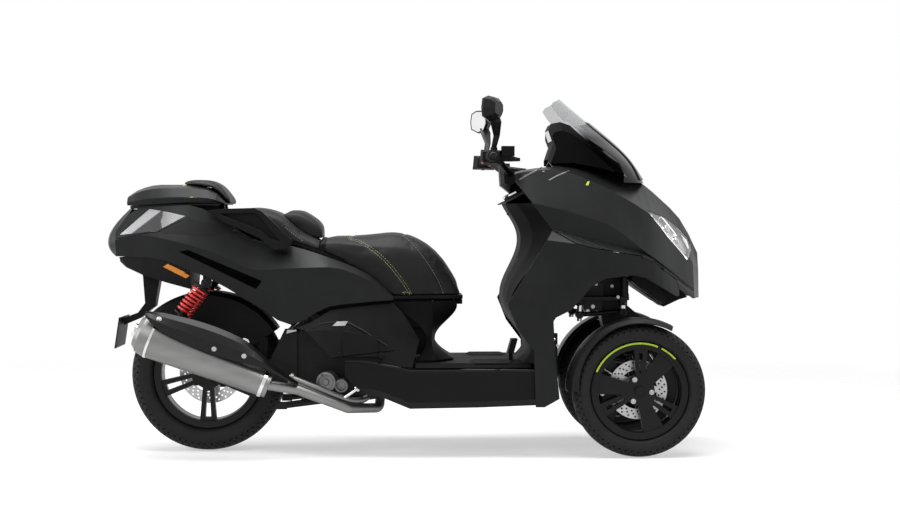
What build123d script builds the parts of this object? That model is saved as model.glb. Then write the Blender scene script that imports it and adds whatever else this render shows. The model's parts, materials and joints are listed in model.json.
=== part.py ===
from build123d import *
from math import cos, hypot, radians, sin, sqrt, tan
import os

# Tilting three-wheeled motor scooter, two steered wheels in front and a driven one behind.
# Millimetres, +X forward, +Y to the rider's left, +Z up, origin on the ground under the middle
# of the vehicle's length.

# Driving dimensions of the whole vehicle
WHEELBASE = 1500
TRACK = 460
TAIL_OVERHANG = 358
NOSE_OVERHANG = 248
RAKE_DEG = 26
CASTER_DEG = 12
REAR_AXLE_X = TAIL_OVERHANG - (TAIL_OVERHANG + WHEELBASE + NOSE_OVERHANG) / 2
FRONT_AXLE_X = REAR_AXLE_X + WHEELBASE

# Wheels
FRONT_TYRE_R = 230
FRONT_TYRE_W = 110
FRONT_RIM_R = FRONT_TYRE_R - 63
FRONT_RIM_W = 78
REAR_TYRE_R = 272
REAR_TYRE_W = 140
REAR_RIM_R = REAR_TYRE_R - 82
REAR_RIM_W = 98
AXLE_R = 10
HUB_R = 34
HUB_FLANGE_R = 52
FRONT_DISC_R = 103
REAR_DISC_R = 112
DISC_T = 4

# Clearances and walls
RUN_GAP = 0.05
SEAT_GAP = 0.3
PANEL_GAP = 3
LENS_GAP = 0.8
PIVOT_GAP = 2
WALL = 4

# Steering and front suspension
KINGPIN_R = 11
KINGPIN_INSET = 45
KINGPIN_HALF = 104
KINGPIN_TOP = 116
ARM_OFFSET = 92
ARM_BOSS_R = 22
ARM_BOSS_H = 22
ARM_ROD_R = 10
ARM_SPREAD = 45
TOWER_HALF_W = 40
GUARD_R = FRONT_TYRE_R + 22
GUARD_WALL = 4
GUARD_OUT_W = 62
GUARD_IN_W = 50
STEM_R = 24
STEM_Z = 935
GRIP_SPAN = 750
GRIP_R = 17
GRIP_LENGTH = 113
BAR_R = 11
MIRROR_SPAN = 776
MIRROR_REACH = 56.5
MIRROR_YAW_DEG = 30

# Rear of the vehicle
TUB_HALF_W = 125
TUB_RISE_D = -20
TUB_RISE_Z = 690
TUB_TAIL_D = -140
TUB_TAIL_Z = 700
FRAME_TUBE_R = 14
FRAME_HALF_W = 150
STAY_HALF_W = 52
LINER_HALF_W = 289.6
FLOOR_Z = 324
MUFFLER_Y = -285
MUFFLER_R = 72
MUFFLER_NOSE_R = 42
MUFFLER_NOSE_D = 232
MUFFLER_NOSE_Z = 254
MUFFLER_TAIL_D = -200
MUFFLER_TAIL_Z = 437
PLATE_HOLE_SPACING = 100
PLATE_HOLE_Z = 420
PLATE_HOLE_R = 3.5
SHOCK_Y = 178
SHOCK_TOP_D = 10
SHOCK_TOP_Z = 600
SHOCK_LOW_D = -87
SHOCK_LOW_Z = 473
SHOCK_PIN_R = 8
SPRING_R = 26
SPRING_WIRE_R = 5
SPRING_TURNS = 7
SPRING_END = 30
STAND_D = 440
STAND_Z = 190
STAND_PIN_R = 8
STAND_LEG = 172
SEAT_HINGE_D = 891
SEAT_HINGE_Z = 529
LID_HINGE_D = 52
LID_HINGE_Z = 856
HINGE_PIN_R = 5
FOOTREST_Z = 356
FOOTREST_Y = -274


# Helpers

def front(d):
    """X of a point d ahead of the front axle."""
    return FRONT_AXLE_X + d


def rear(d):
    """X of a point d ahead of the rear axle."""
    return REAR_AXLE_X + d


def inset(line, wall):
    """The points of an open line in a section moved by the wall to its right-hand side, mitred."""
    normals = []
    for (y0, z0), (y1, z1) in zip(line, line[1:]):
        length = hypot(y1 - y0, z1 - z0)
        normals.append(((z1 - z0) / length, -(y1 - y0) / length))
    pairs = zip([normals[0]] + normals, normals + [normals[-1]])
    moved = []
    for (y, z), (a, b) in zip(line, pairs):
        share = wall / (1 + a[0] * b[0] + a[1] * b[1])
        moved.append((y + share * (a[0] + b[0]), z + share * (a[1] + b[1])))
    return moved


def ring_x(x, points):
    """Closed wire at X from (y, z) points."""
    return Wire.make_polygon([(x, y, z) for y, z in points], close=True)


def slopes(xs, values):
    """Slope at each point of a curve that passes through the values without overshooting them."""
    steps = [b - a for a, b in zip(xs, xs[1:])]
    rates = [(b - a) / h for a, b, h in zip(values, values[1:], steps)]
    middle = []
    for h0, h1, r0, r1 in zip(steps, steps[1:], rates, rates[1:]):
        w0, w1 = h0 + 2 * h1, 2 * h0 + h1
        middle.append((w0 + w1) / (w0 / r0 + w1 / r1) if r0 * r1 > 0 else 0)
    return [rates[0]] + middle + [rates[-1]]


def eased(lines, count):
    """The same lines at evenly spaced stations, each point running smoothly from one to the next."""
    xs = [x for x, line in lines]
    tracks = [[c for point in line for c in point] for x, line in lines]
    curves = [list(track) for track in zip(*tracks)]
    bends = [slopes(xs, curve) for curve in curves]
    made = []
    for k in range(count + 1):
        x = xs[0] + (xs[-1] - xs[0]) * k / count
        i = max(j for j in range(len(xs) - 1) if xs[j] <= x + 1e-6)
        h = xs[i + 1] - xs[i]
        t = (x - xs[i]) / h
        flat = []
        for curve, bend in zip(curves, bends):
            flat.append((1 + 2 * t) * (1 - t) ** 2 * curve[i] + t * (1 - t) ** 2 * h * bend[i]
                        + t * t * (3 - 2 * t) * curve[i + 1] + t * t * (t - 1) * h * bend[i + 1])
        made.append((x, list(zip(flat[::2], flat[1::2]))))
    return made


def skin(lines, wall=WALL):
    """Thin panel along X through open (y, z) lines, given as (x, line) from low X to high X."""
    return Solid.make_loft([ring_x(x, line + inset(line, wall)[::-1]) for x, line in lines], True)


def hull_x(sections):
    """Solid along X through closed (y, z) outlines."""
    return Solid.make_loft([ring_x(x, points) for x, points in sections], True)


def both_sides(half):
    """A symmetric line from the right-hand bottom edge over the middle, from half of it as (half width, z)."""
    right = [(-w, z) for w, z in half]
    left = [(w, z) for w, z in half[::-1] if w > 0]
    return right + left


def prism_y(points, y0, y1):
    """Solid with an (x, z) outline between two Y planes."""
    outline = Wire.make_polygon([(x, y0, z) for x, z in points], close=True)
    return Solid.extrude(Face(outline), Vector(0, y1 - y0, 0))


def prism_z(points, z0, z1):
    """Solid with an (x, y) outline between two Z planes."""
    outline = Wire.make_polygon([(x, y, z0) for x, y in points], close=True)
    return Solid.extrude(Face(outline), Vector(0, 0, z1 - z0))


def box(x0, x1, y0, y1, z0, z1):
    """Box between two corners."""
    return Pos((x0 + x1) / 2, (y0 + y1) / 2, (z0 + z1) / 2) * Box(x1 - x0, y1 - y0, z1 - z0)


def rod(start, end, radius):
    """Round bar between two points."""
    a, b = Vector(*start), Vector(*end)
    plane = Plane(origin=a, z_dir=b - a)
    return Solid.make_cylinder(radius, (b - a).length, plane)


def bar_y(x, z, y0, y1, radius):
    """Round bar along Y."""
    return rod((x, y0, z), (x, y1, z), radius)


def tube(points, radius, bend):
    """Round bar along straight runs joined by arcs of one bend radius."""
    path = FilletPolyline(*points, radius=bend)
    start = Plane(origin=path @ 0, z_dir=path % 0)
    return sweep(start * Circle(radius), path=path)


def spun(points):
    """Ring about the Y axis from (y, radius) points."""
    outline = Wire.make_polygon([(0, y, r) for y, r in points], close=True)
    return Solid.revolve(Face(outline), 360, Axis.Y)


def other_side(shape):
    """The same piece on the vehicle's left."""
    return mirror(shape, about=Plane.XZ)


def pair(shape):
    """A right-hand piece and its mirror image, as two solids."""
    return Compound(children=[*shape.solids(), *other_side(shape).solids()])


def fuse(*shapes):
    """One solid from overlapping shapes."""
    whole = shapes[0]
    for shape in shapes[1:]:
        whole = whole + shape
    return whole


# Wheels

def tyre(radius, width, rim_r, rim_w):
    """Road tyre without tread, seated between the rim's flanges."""
    bead_w = rim_w / 2 - 12.5
    seat_r = rim_r - 13.8
    half = width / 2
    tall = radius - rim_r
    outer = [
        (bead_w, rim_r + 2),
        (half * 0.86, rim_r + 0.14 * tall),
        (half, rim_r + 0.5 * tall),
        (half * 0.94, rim_r + 0.72 * tall),
        (half * 0.72, radius - 0.1 * tall),
        (half * 0.38, radius - 0.025 * tall),
    ]
    inner = [(bead_w, seat_r)]
    points = inner + outer + [(0, radius)] + [(-y, r) for y, r in outer[::-1]] + [(-bead_w, seat_r)]
    return spun(points)


# Spokes by angle from straight ahead, half width at the hub and at the barrel, and half width of a slot.
FRONT_SPOKES = [(50, 18, 36, 0), (88, 13, 24, 6)]
REAR_SPOKES = [(270, 17, 30, 10)]


def rim(radius, width, face_y, spoke_t, hub_y0, hub_y1, spokes, turns):
    """Cast wheel: flanged barrel, hub, and spokes near its outer face that repeat round the axle."""
    half = width / 2
    seat_r = radius - 14
    barrel = spun([
        (-half, seat_r - 9), (-half, radius), (-half + 7, radius), (-half + 12, seat_r),
        (half - 12, seat_r), (half - 7, radius), (half, radius), (half, seat_r - 9),
        (half - 14, seat_r - 12), (-half + 14, seat_r - 12),
    ])
    hub = rod((0, hub_y0, 0), (0, hub_y1, 0), HUB_R)
    flange = rod((0, face_y, 0), (0, face_y + spoke_t * 0.7, 0), HUB_FLANGE_R)
    wheel = fuse(barrel, hub, flange)
    tip = seat_r - 8
    y0, y1 = face_y, face_y + spoke_t
    for angle, root, end, slot in spokes:
        blade = prism_y([(-root, 0.6 * HUB_R), (root, 0.6 * HUB_R), (end, tip), (-end, tip)], y0, y1)
        if slot:
            foot = HUB_FLANGE_R + 8
            opening = [(-slot / 2, foot), (slot / 2, foot), (slot, tip - 16), (-slot, tip - 16)]
            gap = prism_y(opening, y0 - 1, y1 + 1)
            blade = blade - gap
        for i in range(turns):
            wheel = wheel + blade.rotate(Axis.Y, 90 - angle + i * 360 / turns)
    bore = rod((0, hub_y0 - 1, 0), (0, hub_y1 + 1, 0), AXLE_R + RUN_GAP)
    return wheel - bore


def disc(radius, y0):
    """Brake disc with a five-armed carrier that sits on the hub."""
    ring_in = 0.66 * radius
    ring = spun([(y0, ring_in), (y0, radius), (y0 + DISC_T, radius), (y0 + DISC_T, ring_in)])
    bore_r = HUB_R + SEAT_GAP
    carrier = spun([(y0, bore_r), (y0, HUB_R + 9), (y0 + DISC_T, HUB_R + 9), (y0 + DISC_T, bore_r)])
    whole = fuse(ring, carrier)
    for i in range(5):
        arm = box(-7, 7, y0, y0 + DISC_T, HUB_R + 4, ring_in + 4)
        whole = whole + arm.rotate(Axis.Y, i * 72)
    return whole


FRONT_WHEEL_Y = -TRACK / 2
DISC_Y = 16
KINGPIN_Y = -(TRACK / 2 - KINGPIN_INSET)
HUB_IN_Y = 24
HUB_OUT_Y = -32


def front_wheel():
    """Right-hand front wheel's nodes at the origin."""
    return {
        "tyre": tyre(FRONT_TYRE_R, FRONT_TYRE_W, FRONT_RIM_R, FRONT_RIM_W),
        "rim": rim(FRONT_RIM_R, FRONT_RIM_W, HUB_OUT_Y, 20, HUB_OUT_Y, HUB_IN_Y, FRONT_SPOKES, 3),
        "disc": disc(FRONT_DISC_R, DISC_Y),
    }


# Front knuckles, which turn with the wheels

def kingpin_point(along):
    """Point on the right-hand kingpin's axis, along it from the axle's height."""
    lean = radians(CASTER_DEG)
    return (FRONT_AXLE_X - along * sin(lean), KINGPIN_Y, FRONT_TYRE_R + along * cos(lean))


def knuckle():
    """Upright with its kingpin, stub axle, caliper lug and mudguard strut."""
    pin = rod(kingpin_point(-KINGPIN_HALF), kingpin_point(KINGPIN_TOP), KINGPIN_R)
    body = rod(kingpin_point(-ARM_OFFSET + ARM_BOSS_H / 2 + PIVOT_GAP),
               kingpin_point(ARM_OFFSET - ARM_BOSS_H / 2 - PIVOT_GAP), 17)
    axle = bar_y(FRONT_AXLE_X, FRONT_TYRE_R, KINGPIN_Y, FRONT_WHEEL_Y + HUB_OUT_Y - 4, AXLE_R)
    shoulder = bar_y(FRONT_AXLE_X, FRONT_TYRE_R, KINGPIN_Y, FRONT_WHEEL_Y + HUB_IN_Y + 2, 26)
    nut = bar_y(FRONT_AXLE_X, FRONT_TYRE_R, FRONT_WHEEL_Y + HUB_OUT_Y - 12, FRONT_WHEEL_Y + HUB_OUT_Y - 2, 16)
    lug = box(front(-78), front(0), KINGPIN_Y - 12, KINGPIN_Y + 8, FRONT_TYRE_R - 26, FRONT_TYRE_R + 6)
    return fuse(pin, body, axle, shoulder, nut, lug)


def caliper():
    """Brake caliper that straddles the disc behind the axle."""
    disc_y = FRONT_WHEEL_Y + DISC_Y
    body = box(front(-124), front(-74), disc_y - 14, disc_y + 36, FRONT_TYRE_R - 46, FRONT_TYRE_R + 22)
    slot = box(front(-110), front(-60), disc_y - 3, disc_y + DISC_T + 3, FRONT_TYRE_R - 60, FRONT_TYRE_R + 40)
    gap = SEAT_GAP
    lug_seat = box(front(-78) - gap, front(0), KINGPIN_Y - 12 - gap, KINGPIN_Y + 8 + gap,
                   FRONT_TYRE_R - 26 - gap, FRONT_TYRE_R + 6 + gap)
    return body - slot - lug_seat


def mudguard():
    """Front mudguard: a curved blade over the tyre with a strut down to the knuckle."""
    out_y, in_y = FRONT_WHEEL_Y - GUARD_OUT_W, FRONT_WHEEL_Y + GUARD_IN_W
    mid_y = FRONT_WHEEL_Y
    r = GUARD_R
    blade = [
        (out_y, r - 16), (out_y + 16, r - 3), (mid_y, r), (in_y - 12, r - 3), (in_y, r - 12),
    ]
    low = [(y, radius - GUARD_WALL) for y, radius in blade[::-1]]
    outline = Wire.make_polygon([(0, y, radius) for y, radius in blade + low], close=True)
    ring = Solid.revolve(Face(outline), 117, Axis.Y).rotate(Axis.Y, -90)
    upper = []
    lower = []
    for i in range(9):
        turn = radians(180 - 10 * i)
        edge = r - 40 + 3 * i
        upper.append(((r - 15) * cos(turn), (r - 15) * sin(turn)))
        lower.append((edge * cos(turn), edge * sin(turn)))
    flange = prism_y(upper + lower[::-1], out_y, out_y + GUARD_WALL)
    ring = Pos(FRONT_AXLE_X, 0, FRONT_TYRE_R) * fuse(ring, flange)
    top_z = FRONT_TYRE_R + r
    strut_y = FRONT_WHEEL_Y + FRONT_TYRE_W / 2 + 7
    foot_z = kingpin_point(KINGPIN_TOP)[2] + KINGPIN_R * sin(radians(CASTER_DEG)) + SEAT_GAP
    strut = box(front(-44), front(-12), strut_y, strut_y + 6, foot_z, top_z - 13)
    tab = box(front(-44), front(-12), in_y - 4, strut_y + 6, top_z - 21, top_z - 13)
    foot = box(front(-44), front(-6), KINGPIN_Y - 14, strut_y + 6, foot_z, foot_z + 6)
    return fuse(ring, strut, tab, foot)


# Front suspension and frame

def arms():
    """Wishbone pairs on the right-hand side: an upper and a lower one, each with a boss round the kingpin."""
    made = []
    for along in (-ARM_OFFSET, ARM_OFFSET):
        eye = kingpin_point(along)
        half = ARM_BOSS_H / 2
        boss = rod(kingpin_point(along - half), kingpin_point(along + half), ARM_BOSS_R)
        whole = boss
        for spread in (-ARM_SPREAD, ARM_SPREAD):
            whole = whole + rod((eye[0], KINGPIN_Y + 4, eye[2]),
                                (eye[0] + spread, -TOWER_HALF_W - SEAT_GAP, eye[2]), ARM_ROD_R)
        hole = rod(kingpin_point(along - half - 5), kingpin_point(along + half + 5), KINGPIN_R + RUN_GAP)
        trim = box(front(-200), front(200), -TOWER_HALF_W - SEAT_GAP, 0, 0, 600)
        made += (whole - hole - trim).solids()
    return Compound(children=[*made, *[s for m in made for s in other_side(m).solids()]])


TOWER_BACK = -110
TOWER_FRONT = 62
TOWER_NOSE = -10
TOWER_TOP = 640
PLATFORM_Z = 536
PLATFORM_T = 12
DAMPER_ROD_R = 9
DAMPER_Y = -128


def front_tower():
    """Central box that carries the wishbones, with the tilt lock's platform and block on top."""
    outline = [
        (front(TOWER_BACK), 502), (front(-72), 320), (front(-66), 118), (front(TOWER_FRONT + 18), 118),
        (front(TOWER_FRONT), 330), (front(40), 470), (front(TOWER_NOSE), 512), (front(TOWER_NOSE), TOWER_TOP),
        (front(-90), TOWER_TOP), (front(TOWER_BACK), 580),
    ]
    tower = prism_y(outline, -TOWER_HALF_W, TOWER_HALF_W)
    window = prism_y([(front(-40), 180), (front(40), 180), (front(36), 290), (front(-36), 290)], -60, 60)
    platform = box(front(-214), front(-20), -150, 150, PLATFORM_Z, PLATFORM_Z + PLATFORM_T)
    lock = prism_y([
        (front(-188), PLATFORM_Z), (front(-104), PLATFORM_Z), (front(-104), 596), (front(-150), 596),
        (front(-188), 572),
    ], -96, 96)
    return fuse(tower - window, platform, lock)


def front_dampers():
    """Bright damper rods that hang below the platform."""
    made = []
    for d, low in ((-192, 462), (-40, 492)):
        top = (front(d), DAMPER_Y, PLATFORM_Z - SEAT_GAP)
        made.append(rod((front(d), DAMPER_Y, low), top, DAMPER_ROD_R))
    return pair(Compound(children=made))


def steer_point(z):
    """X of the steering axis at a height."""
    return front(-417) + (STEM_Z - z) * tan(radians(RAKE_DEG))


def main_frame():
    """Tubular frame: head tube, spine to the front tower, floor tubes and seat rails."""
    side = tube([
        (front(-290), -34, 630), (front(-350), -80, 545), (front(-356), -FRAME_HALF_W + 12, 260),
        (front(-430), -FRAME_HALF_W, 205), (rear(640), -FRAME_HALF_W, 205), (rear(440), -FRAME_HALF_W, 420),
        (rear(260), -FRAME_HALF_W, 612), (rear(-6), -FRAME_HALF_W, 640),
    ], FRAME_TUBE_R, 30)
    head = rod((steer_point(850), 0, 850), (steer_point(560), 0, 560), STEM_R + 14)
    bore = rod((steer_point(900), 0, 900), (steer_point(600), 0, 600), STEM_R + RUN_GAP)
    spine = box(front(-300), front(TOWER_BACK) + 20, -30, 30, 555, 598)
    floor_bar = box(front(-460), front(-430), -FRAME_HALF_W, FRAME_HALF_W, 195, 215)
    mid_bar = box(rear(728), rear(756), -FRAME_HALF_W, FRAME_HALF_W, 195, 215)
    stay = box(front(-330), front(-180), -STAY_HALF_W, STAY_HALF_W, 590, 652)
    post_top = FLOOR_Z - 6 - SEAT_GAP
    posts = []
    for x in (front(-445), rear(742)):
        for y in (-90, 90):
            posts.append(box(x - 9, x + 9, y - 9, y + 9, 200, post_top))
    rails = fuse(side, other_side(side), stay, head, spine, floor_bar, mid_bar, front_tower(), *posts)
    for edge in (-1, 1):
        y = edge * FRAME_HALF_W
        ear_y = sorted((y - edge * 8, y + edge * 4))
        ear = prism_y([
            (rear(640), 200), (rear(560), 300), (rear(STAND_D - 18), STAND_Z + 8),
            (rear(STAND_D - 14), STAND_Z - 14),
            (rear(STAND_D + 20), STAND_Z - 14),
        ], *ear_y)
        hole = bar_y(rear(STAND_D), STAND_Z, -200, 200, STAND_PIN_R + RUN_GAP)
        width = sorted((y, y + edge * 8))
        hanger = box(rear(SHOCK_TOP_D - 14), rear(SHOCK_TOP_D + 14), *width, SHOCK_TOP_Z - 14, 630)
        pin = bar_y(rear(SHOCK_TOP_D), SHOCK_TOP_Z, y, edge * (SHOCK_Y + 14), SHOCK_PIN_R)
        rails = fuse(rails - bore, ear - hole, hanger, pin)
    return rails


# Front bodywork

# Half sections of the fairing's outer skin, from the sill to the middle: (half width, height) of the
# lower edge, lower crease, waist, widest crease, shoulder and centre line.
FAIRING = [
    (-461, [(265, 170), (285, 770), (262, 800), (270, 890), (215, 965), (0, 1000)]),
    (-381, [(285, 170), (292, 755), (266, 790), (282, 875), (228, 985), (0, 1015)]),
    (-301, [(295, 170), (297, 745), (270, 783), (287, 858), (235, 990), (0, 1028)]),
    (-211, [(297, 170), (298, 733), (266, 760), (285, 833), (232, 968), (0, 1030)]),
    (-111, [(295, 170), (290, 712), (256, 738), (272, 800), (222, 925), (0, 1010)]),
    (25, [(275, 300), (252, 690), (234, 697), (240, 705), (200, 850), (0, 962)]),
    (119, [(235, 400), (205, 620), (193, 632), (197, 642), (163, 775), (0, 888)]),
    (189, [(175, 420), (150, 568), (140, 580), (142, 590), (110, 700), (0, 815)]),
    (225, [(120, 430), (100, 552), (96, 562), (98, 572), (76, 655), (0, 750)]),
    (NOSE_OVERHANG, [(34, 500), (28, 560), (26, 568), (27, 576), (21, 640), (0, 700)]),
]


def fairing_lines():
    """The fairing's section lines at even stations."""
    return eased([(front(d), both_sides(half)) for d, half in FAIRING], 22)


def fairing_skin():
    """The whole front fairing before it is split into panels."""
    return skin(fairing_lines())


COWL_EDGE = [
    (-425, 946), (-303, 783), (-222, 737), (-170, 723), (-67, 706), (25, 692), (70, 661), (138, 610), (149, 576),
    (208, 541),
]
LAMP_EDGE = [(36, 849), (66, 841), (120, 825), (176, 786), (214, 745), (224, 716), (194, 674), (111, 758)]


def front_cowl(whole):
    """Painted upper fairing with its headlamp openings and the gap for the steering stem."""
    outline = [(front(d), z) for d, z in COWL_EDGE]
    outline += [(front(NOSE_OVERHANG + 20), 541), (front(NOSE_OVERHANG + 20), 1100), (front(-425), 1100)]
    lamp = prism_y([(front(d), z) for d, z in LAMP_EDGE], -400, 400)
    stem_gap = box(front(-500), front(-290), -165, 165, 900, 1200)
    return (whole & prism_y(outline, -400, 400)) - lamp - stem_gap


def leg_shield(whole):
    """Right-hand lower fairing panel, cut by the wheel arch."""
    upper = [(front(d), z - PANEL_GAP) for d, z in COWL_EDGE[1:9]]
    lower = [
        (149, 553), (136, 552), (21, 617), (-24, 627), (-122, 617), (-170, 589), (-238, 511), (-292, 484),
        (-300, 471), (-293, 342), (-279, 207), (-330, 178), (-360, 178), (-366, 369), (-422, 444), (-456, 529),
    ]
    outline = upper + [(front(d), z) for d, z in lower]
    return whole & prism_y(outline, -400, -50)


def headlamp_lens(whole):
    """Right-hand headlamp lens, a piece of the fairing's own surface."""
    return whole & prism_y([(front(d), z) for d, z in shrunk(LAMP_EDGE, LENS_GAP)], -400, -30)


def lamp_lines(depth):
    """The fairing's section lines moved inward by a depth."""
    return [(x, inset(line, depth)) for x, line in fairing_lines()[14:22]]


def shrunk(edge, gap):
    """A closed outline drawn in by a gap, or out by a negative one."""
    area = sum(x0 * z1 - x1 * z0 for (x0, z0), (x1, z1) in zip(edge, edge[1:] + edge[:1]))
    way = -gap if area > 0 else gap
    return inset([edge[-1]] + edge + [edge[0]], way)[1:-1]


def headlamp_bowl():
    """Right-hand lamp body, a tray behind the lens."""
    outer = prism_y([(front(d), z) for d, z in shrunk(LAMP_EDGE, -6)], -400, -30)
    inner = prism_y([(front(d), z) for d, z in shrunk(LAMP_EDGE, 5)], -400, -30)
    body = skin(lamp_lines(WALL + LENS_GAP), 22) & outer
    pocket = skin(lamp_lines(WALL - 3), 20) & inner
    return max((body - pocket).solids(), key=lambda solid: solid.volume)


def skin_z(lines, wall=WALL, ruled=False):
    """Thin panel lofted along Z through open (x, y) lines, given as (z, line) from low to high."""
    rings = []
    for z, line in lines:
        ring = line + inset(line, wall)[::-1]
        rings.append(Wire.make_polygon([(x, y, z) for x, y in ring], close=True))
    return Solid.make_loft(rings, ruled)


def wheel_liner():
    """Splash wall behind the front wheels, open in the middle for the frame, and the chin under the nose."""
    wall = box(front(-314), front(-310), -LINER_HALF_W, LINER_HALF_W, 195, 660)
    stay_gap = STAY_HALF_W + SEAT_GAP
    window = box(front(-330), front(-300), -78, 78, 480, 625)
    window = window + box(front(-330), front(-300), -stay_gap, stay_gap, 600, 700)
    cheek = box(front(-311), front(-284), -272, -267, 200, 430)
    back = front(TOWER_NOSE) + SEAT_GAP
    chin = prism_y([
        (back, 600), (front(18), 577), (front(116), 509), (front(169), 534), (front(200), 543), (front(170), 580),
        (front(60), 640), (back, 650),
    ], -66, 66)
    cheeks = prism_y([
        (back, 602), (front(18), 579), (front(104), 521), (front(112), 545), (front(60), 630), (back, 648),
    ], -150, 150)
    liner = fuse(wall - window, cheek, other_side(cheek))
    return Compound(children=[*liner.solids(), *fuse(chin, cheeks).solids()])


# Half width, rear edge and middle of the inner leg shield against height, from the front axle.
INNER_SHIELD = [
    (FLOOR_Z + SEAT_GAP, 280, -362, -417), (444, 271, -412, -407), (530, 266, -446, -458), (642, 274, -385, -432),
    (786, 262, -296, -403), (875.4, 258, -362, -452),
]


def inner_shield():
    """Rider's side of the leg shield and the shelf under the handlebar."""
    lines = []
    for z, w, edge, mid in INNER_SHIELD:
        right = [(front(edge), -w), (front(edge * 0.35 + mid * 0.65), -0.66 * w), (front(mid), -0.33 * w)]
        lines.append((z, right + [(x, -y) for x, y in right[::-1]]))
    panel = skin_z(lines)
    shelf = prism_y([
        (front(-458), 873), (front(-286), 961), (front(-286), 965), (front(-458), 877),
    ], -218, 218)
    hole = rod((steer_point(1000), 0, 1000), (steer_point(850), 0, 850), STEM_R + 10)
    return Compound(children=[panel, *(shelf - hole).solids()])


def hull_y(sections):
    """Solid lofted along Y through closed (x, z) outlines."""
    rings = [Wire.make_polygon([(x, y, z) for x, z in points], close=True) for y, points in sections]
    return Solid.make_loft(rings, True)


HOOD = [
    (-300, 1032), (-279, 1094), (-295, 1140), (-286, 1158), (-255, 1164), (-220, 1152), (-121, 1062),
    (-60, 1006), (-60, 997), (-111, 1014), (-211, 1034),
]


def dash_hood():
    """Instrument binnacle behind the screen."""
    mid = [(front(d), z) for d, z in HOOD]
    side = [(front(d * 0.94 - 12), z - 14 - (z - 1000) * 0.12) for d, z in HOOD]
    return hull_y([(-128, side), (-70, mid), (70, mid), (128, side)])


def display():
    """Flat instrument glass on the binnacle's rear face."""
    return prism_y([
        (front(-281.2), 1098.4), (front(-293.8), 1135.0), (front(-296.8), 1134.0), (front(-284.2), 1097.4),
    ], -66, 66)


# Windscreen against height: middle and edge from the front axle, and half width.
SCREEN = [
    (948, 52.8, -41, 154), (1074, -43, -128, 170), (1161, -146, -250, 172), (1215, -212, -292, 160),
    (1247, -249, -310, 142),
]


def screen_sheet(forward, wall):
    """Curved sheet through the screen's sections."""
    rings = []
    for z, mid, edge, w in SCREEN:
        back = mid - edge
        points = []
        for part in (-1, -0.72, -0.38, 0, 0.38, 0.72, 1):
            points.append((front(mid + forward - back * abs(part) ** 2.2), w * part, z))
        outer = Edge.make_spline([Vector(*p) for p in points])
        inner = Edge.make_spline([Vector(x - wall, y, z) for x, y, z in points[::-1]])
        ends = [Edge.make_line(outer @ 1, inner @ 0), Edge.make_line(inner @ 1, outer @ 0)]
        rings.append(Wire([outer, ends[0], inner, ends[1]]))
    return Solid.make_loft(rings)


def windscreen():
    """Smoked screen, cut along its lower side edge and to a rounded top."""
    sheet = screen_sheet(0, WALL)
    below = prism_y([(front(d), z) for d, z in (
        (-400, 1161), (-239, 1159), (-132, 1072), (-40, 980), (-40, 900), (-400, 900))], -400, 400)
    for edge in (-1, 1):
        corner = [(60, 1247), (200, 1247), (200, 1190), (140, 1228)]
        outline = Wire.make_polygon([(front(-500), edge * y, z) for y, z in corner], close=True)
        sheet = sheet - Solid.extrude(Face(outline), Vector(600, 0, 0))
    return sheet - below


def screen_trim():
    """Dark centre strip over the lower half of the screen."""
    sheet = screen_sheet(6, 6 - SEAT_GAP)
    return sheet & box(front(-300), front(100), -86, 86, 960, 1162)


# Handlebar and its controls

GRIP_IN = -GRIP_SPAN / 2 + GRIP_LENGTH
BAR_Z = 1032
MIRROR_Z = 1190
MIRROR_D = -524
MIRROR_FOOT = (-500, 1066)


def handle_tube(radius):
    """The bent bar from grip to grip, at a radius."""
    half = [
        (front(-430), -60, 978), (front(-478), GRIP_IN + 82, 1022), (front(-506), GRIP_IN + 30, BAR_Z),
        (front(-514), -GRIP_SPAN / 2 + 3, BAR_Z),
    ]
    return tube(half[::-1] + [(x, -y, z) for x, y, z in half], radius, 24)


def handlebar():
    """Steering stem, bar and centre cover in one piece."""
    narrow = [(-452, 948), (-430, 940), (-392, 960), (-398, 996), (-456, 1004)]
    broad = [(-463, 940), (-430, 914), (-376, 958), (-372, 1000), (-468, 1012)]
    stem = rod((steer_point(604), 0, 604), (steer_point(970), 0, 970), STEM_R)
    bar = handle_tube(BAR_R)
    sides = ((-72, narrow), (-40, broad), (40, broad), (72, narrow))
    cover = hull_y([(y, [(front(d), z) for d, z in outline]) for y, outline in sides])
    return fuse(stem, bar, cover)


def grips():
    """Rubber grips with bar-end weights."""
    grip = bar_y(front(-511), BAR_Z, -GRIP_SPAN / 2, GRIP_IN, GRIP_R)
    return pair(grip - handle_tube(BAR_R + SEAT_GAP))


def controls():
    """Switch housings with brake reservoirs, levers and mirror bosses."""
    y = GRIP_IN
    house = hull_y([
        (y + 4, [(front(-540), 1014), (front(-488), 1010), (front(-486), 1050), (front(-540), 1050)]),
        (y + 26, [(front(-550), 1006), (front(-470), 1004), (front(-466), 1056), (front(-545), 1058)]),
        (y + 48, [(front(-534), 1012), (front(-480), 1010), (front(-478), 1048), (front(-530), 1048)]),
    ])
    pot = box(front(-474), front(-430), y + 10, y + 50, 1036, 1070)
    lever = prism_z([
        (front(-472), y + 46), (front(-440), y + 56), (front(-410), y + 22), (front(-428), y - 46),
        (front(-440), y - 104), (front(-451), y - 104), (front(-442), y - 46), (front(-430), y + 16),
    ], 1018, 1029)
    neck = box(front(-476), front(-436), y + 16, y + 48, 1018, 1040)
    foot_d, foot_z = MIRROR_FOOT
    boss = rod((front(foot_d), y + 26, BAR_Z), (front(foot_d), y + 26, foot_z), 12)
    whole = fuse(house, pot, lever, neck, boss)
    return pair(whole - handle_tube(BAR_R + SEAT_GAP))


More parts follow.
